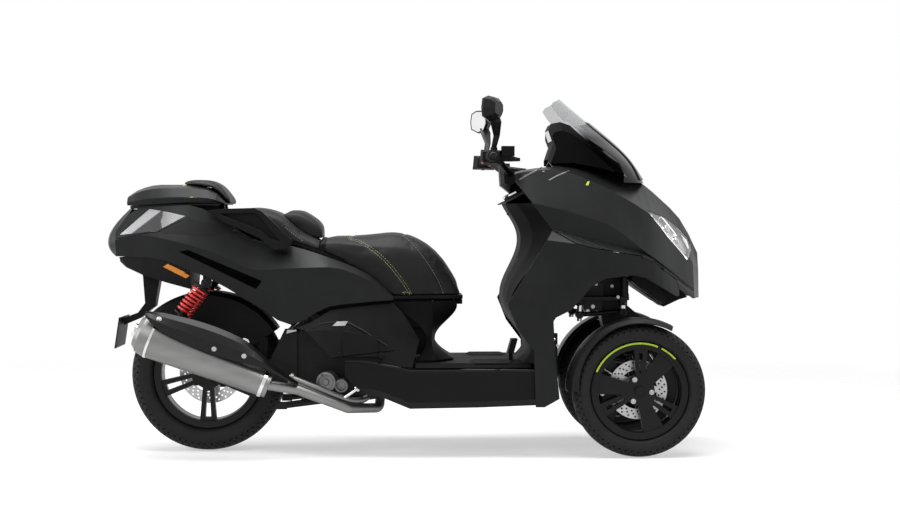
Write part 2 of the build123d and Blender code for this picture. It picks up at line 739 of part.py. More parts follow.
def mirror_outline(share):
    """Outline of the mirror's head in its own plane, outboard first, at a share of its size."""
    points = [(-52, -28), (-58, 2), (-50, 34), (-18, 44), (30, 42), (54, 26), (56, -10), (38, -36), (-4, -44)]
    return [(y * share, z * share) for y, z in points]


def mirror_place(shape):
    """A piece of the right-hand mirror's head turned towards the rider and put in place."""
    return Pos(front(MIRROR_D), -MIRROR_SPAN / 2 + MIRROR_REACH, MIRROR_Z) * Rot(0, 0, -MIRROR_YAW_DEG) * shape


def mirrors():
    """Mirror housings on their stalks."""
    head = hull_x([(x, mirror_outline(share)) for x, share in ((0, 0.96), (8, 1), (26, 0.86), (40, 0.55))])
    recess = hull_x([(-1, mirror_outline(0.88)), (4, mirror_outline(0.88))])
    head_y = -MIRROR_SPAN / 2 + MIRROR_REACH
    foot_d, foot_z = MIRROR_FOOT
    rings = []
    for z, d, y, half_x, half_y in (
        (foot_z + SEAT_GAP, foot_d, GRIP_IN + 26, 9, 9), (1105, -492, GRIP_IN + 6, 11, 8),
        (1148, -498, head_y + 26, 19, 8), (1166, -502, head_y + 12, 16, 7),
    ):
        outline = [(-1, -0.5), (-0.5, -1), (0.5, -1), (1, -0.5), (1, 0.5), (0.5, 1), (-0.5, 1), (-1, 0.5)]
        points = [(front(d) + a * half_x, y + b * half_y, z) for a, b in outline]
        rings.append(Wire.make_polygon(points, close=True))
    stalk = Solid.make_loft(rings, True)
    return pair(fuse(mirror_place(head), stalk) - mirror_place(recess))


def mirror_glasses():
    """Mirror glass in the housings' rear faces."""
    glass = hull_x([(0.6, mirror_outline(0.87)), (3.7, mirror_outline(0.87))])
    return pair(mirror_place(glass))


# Floor and lower body

def floor_board():
    """Footboard across the vehicle."""
    line = [(-252, FLOOR_Z - 14), (-226, FLOOR_Z), (226, FLOOR_Z), (252, FLOOR_Z - 14)]
    return skin([(rear(730), line), (front(-372), line)], 6)


SILL_TOP = [(490, 340), (610, 332), (712, 304.4)]


def sills():
    """Lower side covers, whose upper flange carries the footboard and the side panels."""
    def line(z0, z1, w):
        return [(-174, z0), (-w + 38, z0 - 2), (-w + 6, z0 + 22), (-w, z1 - 8), (-w + 3, z1), (-238, z1)]
    (d0, top0), (d1, top1), (d2, top2) = SILL_TOP
    right = skin([
        (rear(d0), line(232, top0, 266)), (rear(d1), line(212, top1, 270)), (rear(d2), line(170, top2, 273)),
        (front(-550), line(174, top2, 275)), (front(-330), line(182, top2, 277)),
    ])
    rear_cut = prism_y([
        (rear(400), 350), (rear(446), 350), (rear(494), 279), (rear(542), 232), (rear(600), 150),
        (rear(400), 150),
    ], -400, 0)
    return pair(right - rear_cut)


SIDE_PANEL = [
    (300, [(236, 380), (222, 432), (200, 474)]),
    (437, [(264, 338), (246, 440), (211, 516)]),
    (558, [(268, 332), (246, 430), (213, 528)]),
    (654, [(264, 318), (236, 420), (208, 536)]),
    (752, [(236, 306), (192, 400), (188, 500)]),
]


def side_panels():
    """Panels below the tail on either side, with the passenger footrests' hinge ears."""
    outline = [(rear(d), z) for d, z in (
        (314, 444), (346, 444), (448, SILL_TOP[0][1] + 3), *[(d, z + SEAT_GAP) for d, z in SILL_TOP],
        (720, 308), (745, 403), (689, 495), (654, 530), (560, 522), (472, 512), (437, 506), (369, 464))]
    lines = [(rear(d), [(-w, z) for w, z in half]) for d, half in SIDE_PANEL]
    panel = skin(eased(lines, 8)) & prism_y(outline, -400, -100)
    whole = panel
    for d in (466, 606):
        ear = box(rear(d), rear(d + 14), FOOTREST_Y - 8, -258, FOOTREST_Z - 9, FOOTREST_Z + 9)
        ends = [(x, FOOTREST_Y, FOOTREST_Z) for x in (rear(d - 5), rear(d + 20))]
        hole = rod(*ends, HINGE_PIN_R + RUN_GAP)
        whole = whole + (ear - hole)
    return pair(whole)


def footrest():
    """Right-hand passenger footrest, folded up, with its hinge pin."""
    pin = rod((rear(462), FOOTREST_Y, FOOTREST_Z), (rear(624), FOOTREST_Y, FOOTREST_Z), HINGE_PIN_R)
    foot = [(FOOTREST_Y + 5, FOOTREST_Z - 4), (FOOTREST_Y - 7, FOOTREST_Z - 4)]
    blade = hull_x([
        (rear(484), foot + [(FOOTREST_Y - 3, 440), (FOOTREST_Y + 9, 440)]),
        (rear(602), foot + [(FOOTREST_Y - 3, 420), (FOOTREST_Y + 9, 420)]),
    ])
    return fuse(pin, blade)


def seat_pillar():
    """Cover under the front of the seat."""
    lines = []
    stations = (
        (330, 728, 206, 868, 95), (445, 750, 176, 823, 90), (519, 664, 180, 879, 100), (534, 650, 182, 875, 100),
    )
    for z, back, w, tip, tip_w in stations:
        left = [(rear(back), w), (rear(back + (tip - back) * 0.55), w * 0.93), (rear(tip), tip_w)]
        lines.append((z, left + [(x, -y) for x, y in left[::-1]]))
    eye = box(rear(SEAT_HINGE_D - 17), rear(SEAT_HINGE_D + 8), 50, 62, SEAT_HINGE_Z - 9, SEAT_HINGE_Z + 8)
    hole = bar_y(rear(SEAT_HINGE_D), SEAT_HINGE_Z, -90, 90, HINGE_PIN_R + RUN_GAP)
    cover = skin_z(lines)
    return fuse(cover, eye, other_side(eye)) - hole


def brake_pedal():
    """Foot brake on the right of the footwell."""
    pad = prism_y([(front(-446), 350), (front(-424), 350), (front(-410), 400), (front(-432), 400)], -140, -80)
    foot = box(front(-440), front(-426), -116, -104, FLOOR_Z + SEAT_GAP, 352)
    return fuse(pad, foot)


# Tail

TAIL = [
    (-314, [(90, 690), (100, 712), (112, 745), (102, 776)]),
    (-270, [(112, 690), (122, 717), (134, 758), (92, 838)]),
    (-227, [(128, 689), (140, 722), (152, 766), (105, 862)]),
    (-161, [(155, 684), (168, 716), (180, 757), (135, 864)]),
    (-56, [(182, 648), (192, 685), (200, 733), (165, 868)]),
    (42, [(196, 605), (204, 645), (210, 704), (178, 835)]),
    (186, [(206, 521), (214, 575), (224, 645), (184, 745)]),
    (303, [(213, 457), (222, 548), (232, 651), (186, 727)]),
    (437, [(224, 520), (232, 560), (238, 655), (190, 686)]),
    (558, [(226, 534), (230, 560), (232, 618), (196, 636)]),
    (612, [(225, 539), (227, 551), (228, 580), (202, 594)]),
    (654, [(222, 541), (223, 544), (222, 550), (208, 556)]),
]
TAIL_LAMP = [(-300, 764), (-192, 856), (-122, 845), (-60, 831), (-157, 779), (-227, 772)]
TAIL_MID = [
    (689.3, -290, 84, -332), (745, -308, 104, -TAIL_OVERHANG), (790, -300, 88, -340), (856, -258, 78, -280),
]


def tail_skin():
    """Right-hand tail side before the lamp is cut out."""
    return skin(eased([(rear(d), [(-w, z) for w, z in half]) for d, half in TAIL], 22))


def tail_panels(whole):
    """Painted tail sides and the rear middle panel."""
    lamp = prism_y([(rear(d), z) for d, z in TAIL_LAMP], -400, -20)
    side = whole - lamp
    lines = []
    for z, edge, w, mid in TAIL_MID:
        right = [(rear(edge), -w), (rear(mid * 0.72 + edge * 0.28), -0.55 * w), (rear(mid), 0)]
        lines.append((z, right + [(x, -y) for x, y in right[-2::-1]]))
    middle = skin_z(lines)
    return Compound(children=[*side.solids(), *other_side(side).solids(), middle])


def tail_lamps(whole):
    """Tail lamp lenses, pieces of the tail's own surface."""
    return pair(whole & prism_y([(rear(d), z) for d, z in shrunk(TAIL_LAMP, LENS_GAP)], -400, -20))


def swing_arm_top(d):
    """Height of the right-hand swing arm's upper edge."""
    return 306 + (d + 34) * (340 - 306) / (320 + 34)


def tub_floor(d):
    """Height of the storage tub's underside over the rear wheel."""
    share = (TUB_RISE_D - d) / (TUB_RISE_D - TUB_TAIL_D)
    return TUB_RISE_Z + (TUB_TAIL_Z - TUB_RISE_Z) * share


def undertail():
    """Dark tray under the tail, the number plate's carrier and the rear mudguard."""
    def ring(w0, w1, z0, z1):
        return [(-w0, z0), (-w1, z1), (w1, z1), (w0, z0)]
    tray = hull_x([
        (rear(-306), ring(52, 74, 670, 687)), (rear(-284), ring(62, 82, 651, 689)),
        (rear(-223), ring(80, 114, 624, 697)), (rear(-137), ring(100, 146, 598, 690)),
        (rear(-50), ring(112, 166, 575, 655)),
    ])
    arm = prism_y([
        (rear(-232), 640), (rear(-170), 620), (rear(-189), 512), (rear(-240), 470), (rear(-297), 446),
        (rear(-301), 470), (rear(-248), 490), (rear(-223), 523),
    ], -34, 34)
    plate = prism_y([(rear(-304), 476), (rear(-300), 476), (rear(-316), 368), (rear(-320), 368)], -100, 100)
    carrier = fuse(tray, arm, plate)
    for y in (-PLATE_HOLE_SPACING / 2, PLATE_HOLE_SPACING / 2):
        carrier = carrier - rod((rear(-340), y, PLATE_HOLE_Z), (rear(-280), y, PLATE_HOLE_Z), PLATE_HOLE_R)
    r = REAR_TYRE_R + 16
    blade = [(-86, r - 125), (-82, r - 8), (-60, r + 6), (60, r + 6), (82, r - 8), (86, r - 60)]
    low = [(y * (1 - 4 / 86), radius - 4) for y, radius in blade[::-1]]
    outline = Wire.make_polygon([(0, y, radius) for y, radius in blade + low], close=True)
    guard = Solid.revolve(Face(outline), 98, Axis.Y).rotate(Axis.Y, -41)
    guard = Pos(REAR_AXLE_X, 0, REAR_TYRE_R) * guard
    stay_z = swing_arm_top(215) + SEAT_GAP
    strap = box(rear(185), rear(215), -90, -83, stay_z, 404)
    foot = box(rear(185), rear(215), -118, -83, stay_z, stay_z + 6)
    seat = prism_y([
        (rear(-130), 630), (rear(-130), tub_floor(-130) - SEAT_GAP), (rear(-60), tub_floor(-60) - SEAT_GAP),
        (rear(-60), 630),
    ], -60, 60)
    return Compound(children=[*fuse(carrier, seat).solids(), *fuse(guard, strap, foot).solids()])


def grab_handles():
    """Passenger grab handles with a finger recess on the outside."""
    outline = [
        (14, 848), (76, 855), (180, 858), (207, 845), (310, 745), (300, 724), (248, 714), (197, 755), (76, 810),
    ]
    recess = [(60, 838), (100, 822), (205, 780), (236, 752), (268, 744), (196, 832), (174, 842)]
    handle = prism_y([(rear(d), z) for d, z in outline], -234, -196)
    handle = handle - prism_y([(rear(d), z) for d, z in recess], -240, -216)
    foot = prism_y([(rear(30), 846), (rear(110), 850), (rear(110), 826), (rear(40), 838)], -202, -184)
    return pair(fuse(handle, foot))


# Power unit, exhaust and rear suspension

def power_unit():
    """Engine block, drive case, right-hand swing arm and rear axle."""
    engine = box(rear(290), rear(560), -118, 118, 222, 425)
    sump = box(rear(330), rear(530), -100, 100, 205, 240)
    case = prism_y([(rear(-40), 332), (rear(-72), 272), (rear(-40), 214), (rear(300), 206), (rear(420), 230),
                    (rear(420), 360), (rear(300), 392)], 92, 150)
    arm = prism_y([
        (rear(-34), 306), (rear(-40), 240), (rear(320), 250), (rear(320), 436), (rear(276), 436),
        (rear(226), swing_arm_top(226)),
    ], -126, -98)
    axle = bar_y(REAR_AXLE_X, REAR_TYRE_R, -134, 120, AXLE_R)
    collar = fuse(bar_y(REAR_AXLE_X, REAR_TYRE_R, -100, -66, 22), bar_y(REAR_AXLE_X, REAR_TYRE_R, 66, 94, 22))
    right_leg = prism_y([(rear(-30), 250), (rear(24), 250), (rear(SHOCK_LOW_D + 16), SHOCK_LOW_Z + 10),
                         (rear(SHOCK_LOW_D - 16), SHOCK_LOW_Z + 10)], -140, -124)
    left_leg = prism_y([(rear(-30), 290), (rear(24), 290), (rear(SHOCK_LOW_D + 16), SHOCK_LOW_Z + 10),
                        (rear(SHOCK_LOW_D - 16), SHOCK_LOW_Z + 10)], 130, 146)
    pins = fuse(right_leg, bar_y(rear(SHOCK_LOW_D), SHOCK_LOW_Z, -SHOCK_Y - 14, -130, SHOCK_PIN_R))
    pins = fuse(pins, axle, arm, collar)
    rear_left = fuse(left_leg, case, bar_y(rear(SHOCK_LOW_D), SHOCK_LOW_Z, 136, SHOCK_Y + 14, SHOCK_PIN_R))
    return fuse(engine, sump, pins, rear_left)


def muffler_line():
    """Front and rear ends of the muffler's axis."""
    nose = Vector(rear(MUFFLER_NOSE_D), MUFFLER_Y, MUFFLER_NOSE_Z)
    return nose, Vector(rear(MUFFLER_TAIL_D), MUFFLER_Y, MUFFLER_TAIL_Z)


def exhaust():
    """Pipe and muffler in one piece."""
    pipe = tube([
        (rear(560) + SEAT_GAP, -70, 300), (rear(598), -70, 300), (rear(612), -84, 240), (rear(606), -128, 160),
        (rear(499), -212, 168), (rear(330), -246, 236), (rear(190), MUFFLER_Y, 264),
    ], 17, 22)
    nose, tail = muffler_line()
    axis = (tail - nose).normalized()
    length = (tail - nose).length
    cone = Solid.make_cone(MUFFLER_NOSE_R, MUFFLER_R, length - 40, Plane(origin=nose, z_dir=axis))
    drum = Solid.make_cone(MUFFLER_R, MUFFLER_R - 6, 34, Plane(origin=nose + axis * (length - 40), z_dir=axis))
    cap = Solid.make_cone(MUFFLER_R - 9, MUFFLER_R - 22, 16, Plane(origin=nose + axis * (length - 6), z_dir=axis))
    hanger = box(rear(60), rear(110), -262, -128, 318, 336)
    return fuse(pipe, cone, drum, cap, hanger)


def muffler_side(d, z):
    """Y of the muffler's outer side at a point of its length and height."""
    share = (MUFFLER_NOSE_D - d) / (MUFFLER_NOSE_D - MUFFLER_TAIL_D)
    r = MUFFLER_NOSE_R + (MUFFLER_R - MUFFLER_NOSE_R) * share * 1.1
    slant = (MUFFLER_TAIL_Z - MUFFLER_NOSE_Z) / (MUFFLER_NOSE_D - MUFFLER_TAIL_D)
    drop = (z - MUFFLER_NOSE_Z - share * (MUFFLER_TAIL_Z - MUFFLER_NOSE_Z)) / hypot(1, slant)
    return MUFFLER_Y - sqrt(r * r - drop * drop)


# Heat shield along the muffler: lower and upper edge and the side it reaches.
SHIELD = [
    (-172, 492, 511, -352), (-130, 452, 508, -356), (-60, 413, 493, -352), (20, 377, 471, -346), (100, 350, 440, -340),
    (170, 331, 402, -334), (213, 320, 362, -328), (250, 300, 326, -316), (331, 250, 262, -274),
]
SHIELD_BOSS_R = 6


def heat_shield():
    """Dark leaf-shaped plate over the muffler's outer side, standing on three bosses."""
    lines = []
    for d, low, high, y in SHIELD:
        tall = high - low
        line = [(y, low), (y - 5, low + 0.45 * tall), (y + 8, low + 0.8 * tall), (y + 26, high)]
        lines.append((rear(d), line))
    plate = skin(eased(lines, 18))
    for d, z, y in ((-100, 446, -352), (20, 390, -344), (140, 351, -335)):
        seat_y = muffler_side(d - SHIELD_BOSS_R, z - SHIELD_BOSS_R) - 2 * SEAT_GAP
        plate = plate + rod((rear(d), y, z), (rear(d), seat_y, z), SHIELD_BOSS_R)
    return plate


def shock_bodies():
    """Rear dampers with an eye at each end."""
    low = (rear(SHOCK_LOW_D), -SHOCK_Y, SHOCK_LOW_Z)
    top = (rear(SHOCK_TOP_D), -SHOCK_Y, SHOCK_TOP_Z)
    axis = (Vector(*top) - Vector(*low)).normalized()
    length = (Vector(*top) - Vector(*low)).length
    whole = rod(low, top, 13)
    cup = SPRING_END - SPRING_WIRE_R - SEAT_GAP
    for start in (cup - 5, length - cup):
        seat = Plane(origin=Vector(*low) + axis * start, z_dir=axis)
        whole = whole + Solid.make_cylinder(SPRING_R + SPRING_WIRE_R, 5, seat)
    for d, z in ((SHOCK_LOW_D, SHOCK_LOW_Z), (SHOCK_TOP_D, SHOCK_TOP_Z)):
        whole = whole + bar_y(rear(d), z, -SHOCK_Y - 11, -SHOCK_Y + 11, 17)
    for d, z in ((SHOCK_LOW_D, SHOCK_LOW_Z), (SHOCK_TOP_D, SHOCK_TOP_Z)):
        whole = whole - bar_y(rear(d), z, -SHOCK_Y - 30, -SHOCK_Y + 30, SHOCK_PIN_R + SEAT_GAP)
    return pair(whole)


def shock_springs():
    """Coil springs over the rear dampers."""
    low = Vector(rear(SHOCK_LOW_D), -SHOCK_Y, SHOCK_LOW_Z)
    top = Vector(rear(SHOCK_TOP_D), -SHOCK_Y, SHOCK_TOP_Z)
    axis = (top - low).normalized()
    run = (top - low).length - 2 * SPRING_END
    coil = Helix(run / SPRING_TURNS, run, SPRING_R)
    section = Plane(origin=coil @ 0, z_dir=coil % 0) * RegularPolygon(SPRING_WIRE_R, 6)
    spring = sweep(section, path=coil, is_frenet=True)
    return pair(Plane(origin=low + axis * SPRING_END, z_dir=axis).location * spring)


def storage_tub():
    """Open tub under the seat and the luggage lid."""
    def ring(shrink):
        return [(rear(d), z) for d, z in (
            (800 - shrink, 440 + shrink), (300 - shrink, 440 + shrink), (262 - shrink, 612 + shrink),
            (TUB_RISE_D, TUB_RISE_Z + shrink), (TUB_TAIL_D + shrink, TUB_TAIL_Z + shrink),
            (TUB_TAIL_D + shrink, 866), (40, 866), (110, 790),
            (332, 706), (470, 654), (574, 582), (654, 524), (800 - shrink, 524))]
    outer = prism_y(ring(0), -TUB_HALF_W, TUB_HALF_W)
    inner = ring(WALL)
    inner = inner[:5] + [(rear(TUB_TAIL_D + WALL), 1000), (rear(800 - WALL), 1000)]
    hollow = prism_y(inner, -TUB_HALF_W + WALL, TUB_HALF_W - WALL)
    tub = outer - hollow
    for d, z in ((300, 569), (380, 484)):
        foot = bar_y(rear(d), z, -FRAME_HALF_W + FRAME_TUBE_R + SEAT_GAP, -TUB_HALF_W + 1, 9)
        tub = fuse(tub, foot, other_side(foot))
    return tub


# Seat, luggage lid and stand

SEAT_LOW = [(899, 541), (654, 541), (574, 600), (470, 672), (332, 724), (104, 808)]
SEAT_BASE_T = 12


def seat_base():
    """Rigid seat pan with its hinge lugs at the front."""
    top = [(d, z + SEAT_BASE_T) for d, z in SEAT_LOW[::-1]]
    pan = prism_y([(rear(d), z) for d, z in SEAT_LOW + top], -160, 160)
    corner = [(650, -170), (650, -161), (850, -116), (902, -92), (902, -170)]
    front_trim = prism_z([(rear(d), y) for d, y in corner], 500, 600)
    lug = box(rear(SEAT_HINGE_D - 8), rear(SEAT_HINGE_D + 8), 34, 46, SEAT_HINGE_Z - 8, 545)
    pin = bar_y(rear(SEAT_HINGE_D), SEAT_HINGE_Z, 34, 64, HINGE_PIN_R)
    whole = fuse(pan, lug, pin, other_side(lug), other_side(pin))
    return whole - front_trim - other_side(front_trim)


def cushion(stations):
    """Padded block from (d, low, high, half width) stations, with rolled upper edges."""
    rings = []
    for d, z0, z1, w in stations:
        tall = z1 - z0
        side = [(0.97 * w, z0), (w, z0 + 0.45 * tall)]
        half = side + [(0.95 * w, z1 - 0.22 * tall), (0.76 * w, z1 - 0.05 * tall), (0.4 * w, z1)]
        rings.append((rear(d), [(-a, z) for a, z in half] + [(a, z) for a, z in half[::-1]]))
    return hull_x(eased(rings, 16))


def pan_space():
    """Everything below the seat pan's upper face."""
    top = [(rear(d), z + SEAT_BASE_T + SEAT_GAP) for d, z in SEAT_LOW]
    nose = (rear(960), SEAT_LOW[0][1] + SEAT_BASE_T + SEAT_GAP)
    return prism_y([nose, *top, (rear(60), 826), (rear(60), 300), (rear(960), 300)], -300, 300)


def rider_cushion():
    """Rider's seat."""
    block = cushion([
        (416, 690, 757, 168), (482, 662, 757, 172), (572, 598, 762, 170), (654, 540, 770, 164), (697, 540, 764, 154),
        (750, 540, 743, 142), (804, 540, 703, 128), (847, 540, 650, 114), (879, 540, 592, 102), (893, 540, 566, 94),
    ])
    return block - pan_space()


def passenger_cushion():
    """Passenger's seat and the rider's lumbar bolster in front of it."""
    seat = cushion([
        (100, 804, 846, 146), (180, 776, 856, 168), (215, 764, 851, 172), (262, 746, 834, 172), (330, 722, 778, 170),
        (404, 696, 738, 162),
    ])
    bolster = cushion([
        (266, 833, 841, 100), (300, 807, 848, 118), (330, 779, 848, 122), (365, 761, 831, 120), (394, 753, 807, 114),
        (410, 755, 779, 104),
    ])
    return Compound(children=[*(seat - pan_space()).solids(), bolster])


def lid_block(stations):
    """Closed lid from (d, low, high, half width) stations."""
    rings = []
    for d, z0, z1, w in stations:
        half = [(0.95 * w, z0), (w, z0 + 0.3 * (z1 - z0)), (0.84 * w, z1 - 0.2 * (z1 - z0)), (0.46 * w, z1)]
        rings.append((rear(d), [(-a, z) for a, z in half] + [(a, z) for a, z in half[::-1]]))
    return hull_x(eased(rings, 12))


def luggage_lid():
    """Lid over the rear luggage space, hinged at its front."""
    lid = lid_block([
        (-276, 868, 902, 88), (-231, 869, 927, 118), (-161, 872, 941, 144), (-91, 876, 941, 160), (0, 876, 934, 164),
        (32, 874, 922, 162), (70, 872, 882, 150),
    ])
    lug = box(rear(LID_HINGE_D - 8), rear(LID_HINGE_D + 8), 34, 46, LID_HINGE_Z - 8, 878)
    pin = bar_y(rear(LID_HINGE_D), LID_HINGE_Z, 34, 64, HINGE_PIN_R)
    return fuse(lid, lug, pin, other_side(lug), other_side(pin))


def backrest_pad():
    """Passenger back pad on the front of the lid."""
    return cushion([
        (-84, 942, 949, 64), (-40, 939, 954, 100), (18, 931, 952, 116), (40, 919, 941, 118), (72, 885, 905, 116),
        (86, 867, 883, 112),
    ])


def hinge_bridge():
    """Bridge across the tub behind the seat, with the eyes for the lid's hinge pins."""
    x0, x1 = rear(LID_HINGE_D - 9), rear(LID_HINGE_D + 9)
    whole = box(x0, x1, -TUB_HALF_W + 1, TUB_HALF_W - 1, 828, 840)
    for y0, y1 in ((-62, -50), (50, 62)):
        whole = whole + box(x0, x1, y0, y1, 836, LID_HINGE_Z + 8)
    return whole - bar_y(rear(LID_HINGE_D), LID_HINGE_Z, -90, 90, HINGE_PIN_R + RUN_GAP)


def centre_stand():
    """Two-legged stand, folded back under the engine."""
    pin = bar_y(rear(STAND_D), STAND_Z, -FRAME_HALF_W - 10, FRAME_HALF_W + 10, STAND_PIN_R)
    tip = (rear(STAND_D - STAND_LEG), STAND_Z - 20)
    leg = rod((rear(STAND_D), -120, STAND_Z), (tip[0], -132, tip[1]), 12)
    foot = box(tip[0] - 20, tip[0] + 16, -148, -118, tip[1] - 12, tip[1] + 12)
    bridge = box(rear(STAND_D - 110), rear(STAND_D - 86), -126, 126, STAND_Z - 22, STAND_Z - 4)
    sleeve = bar_y(rear(STAND_D), STAND_Z, -136, 136, 13)
    return fuse(pin, sleeve, leg, other_side(leg), foot, other_side(foot), bridge)


def rear_wheel():
    """Rear wheel's nodes in place."""
    spot = Pos(REAR_AXLE_X, 0, REAR_TYRE_R)
    return {
        "rear_tyre": spot * tyre(REAR_TYRE_R, REAR_TYRE_W, REAR_RIM_R, REAR_RIM_W),
        "rear_rim": spot * rim(REAR_RIM_R, REAR_RIM_W, -44, 26, -62, 62, REAR_SPOKES, 5),
        "rear_disc": spot * disc(REAR_DISC_R, 40),
    }


def build():
    """All nodes by name."""
    nodes = {}
    spot = Pos(FRONT_AXLE_X, FRONT_WHEEL_Y, FRONT_TYRE_R)
    for name, shape in front_wheel().items():
        placed = spot * shape
        nodes[f"front_{name}_right"] = placed
        nodes[f"front_{name}_left"] = other_side(placed)
    upright = Compound(children=[*knuckle().solids(), *caliper().solids()])
    for name, shape in (("knuckle", upright), ("mudguard", mudguard()), ("footrest", footrest())):
        nodes[f"{name}_right"] = shape
        nodes[f"{name}_left"] = other_side(shape)
    nodes.update(rear_wheel())
    fairing = fairing_skin()
    tail = tail_skin()
    nodes["wishbones"] = arms()
    nodes["front_dampers"] = front_dampers()
    nodes["main_frame"] = main_frame()
    nodes["front_cowl"] = front_cowl(fairing)
    nodes["leg_shields"] = pair(leg_shield(fairing))
    nodes["headlamp_lenses"] = pair(headlamp_lens(fairing))
    nodes["headlamp_bowls"] = pair(headlamp_bowl())
    nodes["wheel_liner"] = wheel_liner()
    nodes["inner_shield"] = inner_shield()
    nodes["dash_hood"] = dash_hood()
    nodes["display"] = display()
    nodes["windscreen"] = windscreen()
    nodes["screen_trim"] = screen_trim()
    nodes["handlebar"] = handlebar()
    nodes["grips"] = grips()
    nodes["controls"] = controls()
    nodes["mirrors"] = mirrors()
    nodes["mirror_glasses"] = mirror_glasses()
    nodes["floor_board"] = floor_board()
    nodes["sills"] = sills()
    nodes["side_panels"] = side_panels()
    nodes["seat_pillar"] = seat_pillar()
    nodes["brake_pedal"] = brake_pedal()
    nodes["tail_panels"] = tail_panels(tail)
    nodes["tail_lamps"] = tail_lamps(tail)
    nodes["undertail"] = undertail()
    nodes["grab_handles"] = grab_handles()
    nodes["power_unit"] = power_unit()
    nodes["exhaust"] = exhaust()
    nodes["heat_shield"] = heat_shield()
    nodes["shock_bodies"] = shock_bodies()
    nodes["shock_springs"] = shock_springs()
    nodes["storage_tub"] = fuse(storage_tub(), hinge_bridge())
    nodes["seat_base"] = seat_base()
    nodes["rider_cushion"] = rider_cushion()
    nodes["passenger_cushion"] = passenger_cushion()
    nodes["luggage_lid"] = luggage_lid()
    nodes["backrest_pad"] = backrest_pad()
    nodes["centre_stand"] = centre_stand()
    return nodes


os.makedirs("parts", exist_ok=True)
for node, shape in build().items():
    export_step(shape, f"parts/{node}.step")
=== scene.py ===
"""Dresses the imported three-wheeled scooter: finishes, tread, padding, stitching, lamps and small hardware."""
import json
from math import copysign, cos, exp, pi, radians, sin

import bmesh
import bpy
from mathutils import Euler, Matrix, Vector
from mathutils.bvhtree import BVHTree
from mathutils.kdtree import KDTree


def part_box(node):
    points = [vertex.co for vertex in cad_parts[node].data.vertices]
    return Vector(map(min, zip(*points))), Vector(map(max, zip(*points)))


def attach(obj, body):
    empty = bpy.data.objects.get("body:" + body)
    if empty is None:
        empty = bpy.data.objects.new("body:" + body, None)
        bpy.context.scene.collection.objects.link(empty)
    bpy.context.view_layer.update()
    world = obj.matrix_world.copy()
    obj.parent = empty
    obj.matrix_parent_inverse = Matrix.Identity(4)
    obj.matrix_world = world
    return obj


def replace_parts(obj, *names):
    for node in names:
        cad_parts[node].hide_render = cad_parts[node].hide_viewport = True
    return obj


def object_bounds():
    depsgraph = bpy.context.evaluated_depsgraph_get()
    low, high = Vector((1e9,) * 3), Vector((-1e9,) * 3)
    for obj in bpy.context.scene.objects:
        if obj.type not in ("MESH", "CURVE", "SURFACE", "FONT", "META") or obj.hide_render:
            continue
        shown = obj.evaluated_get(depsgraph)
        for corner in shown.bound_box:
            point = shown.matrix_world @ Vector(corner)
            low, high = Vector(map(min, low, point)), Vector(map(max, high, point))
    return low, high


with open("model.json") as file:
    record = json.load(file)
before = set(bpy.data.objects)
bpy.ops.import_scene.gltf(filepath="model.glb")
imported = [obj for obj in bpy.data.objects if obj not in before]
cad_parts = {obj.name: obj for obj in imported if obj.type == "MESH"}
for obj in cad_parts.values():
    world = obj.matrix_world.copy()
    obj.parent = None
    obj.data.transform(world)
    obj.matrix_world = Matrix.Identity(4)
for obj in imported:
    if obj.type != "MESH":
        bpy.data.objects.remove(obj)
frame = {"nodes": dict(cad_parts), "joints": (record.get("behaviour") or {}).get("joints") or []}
CAD_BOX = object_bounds()
NODES = frame["nodes"]
JOINTS = {joint["name"]: joint for joint in frame["joints"]}

# Places taken from the frame, in metres
FRONT_AXLE = {side: Vector(JOINTS[f"front_wheel_{side}_spin"]["pos_m"]) for side in ("right", "left")}
REAR_AXLE = Vector(JOINTS["rear_wheel_spin"]["pos_m"])
FX = FRONT_AXLE["right"].x
RX = REAR_AXLE.x


# Materials

def material(name, colour, roughness, **sockets):
    """Principled material with plain values on the shader's own sockets."""
    made = bpy.data.materials.new(name)
    made.use_nodes = True
    shader = made.node_tree.nodes["Principled BSDF"]
    shader.inputs["Base Color"].default_value = (*colour, 1)
    shader.inputs["Roughness"].default_value = roughness
    for socket, value in sockets.items():
        shader.inputs[socket.replace("_", " ")].default_value = value
    return made


def add(made, kind, **settings):
    """Node of a material's tree, with its input values."""
    node = made.node_tree.nodes.new(kind)
    for key, value in settings.items():
        if key in node.inputs:
            node.inputs[key].default_value = value
        else:
            setattr(node, key, value)
    return node


def join(made, source, target):
    """Link between two sockets."""
    made.node_tree.links.new(source, target)


def ramp(made, factor, low, high, start=0.3, end=0.7):
    """Colour ramp between two colours."""
    node = add(made, "ShaderNodeValToRGB")
    node.color_ramp.elements[0].position = start
    node.color_ramp.elements[1].position = end
    node.color_ramp.elements[0].color = (*low, 1)
    node.color_ramp.elements[1].color = (*high, 1)
    join(made, factor, node.inputs["Fac"])
    return node.outputs["Color"]


def spread(made, factor, low=0.0, high=1.0, start=0.0, end=1.0):
    """A factor between start and end as a number between two values."""
    node = add(made, "ShaderNodeMapRange", **{"From Min": start, "From Max": end, "To Min": low, "To Max": high})
    join(made, factor, node.inputs["Value"])
    return node.outputs["Result"]


def texture(made, kind, scale, stretch=(1, 1, 1), **settings):
    """Texture in the row frame, in repeats per metre."""
    coords = add(made, "ShaderNodeTexCoord")
    mapping = add(made, "ShaderNodeMapping")
    mapping.inputs["Scale"].default_value = stretch
    node = add(made, kind, Scale=scale, **settings)
    join(made, coords.outputs["Object"], mapping.inputs["Vector"])
    join(made, mapping.outputs["Vector"], node.inputs["Vector"])
    return node


def grey(value, tint=0.0):
    """Neutral colour, a little cool for a positive tint."""
    return (value * (1 - tint), value, value * (1 + tint))


def greys(low, high, tint=0.0):
    """Two neutral colours."""
    return grey(low, tint), grey(high, tint)


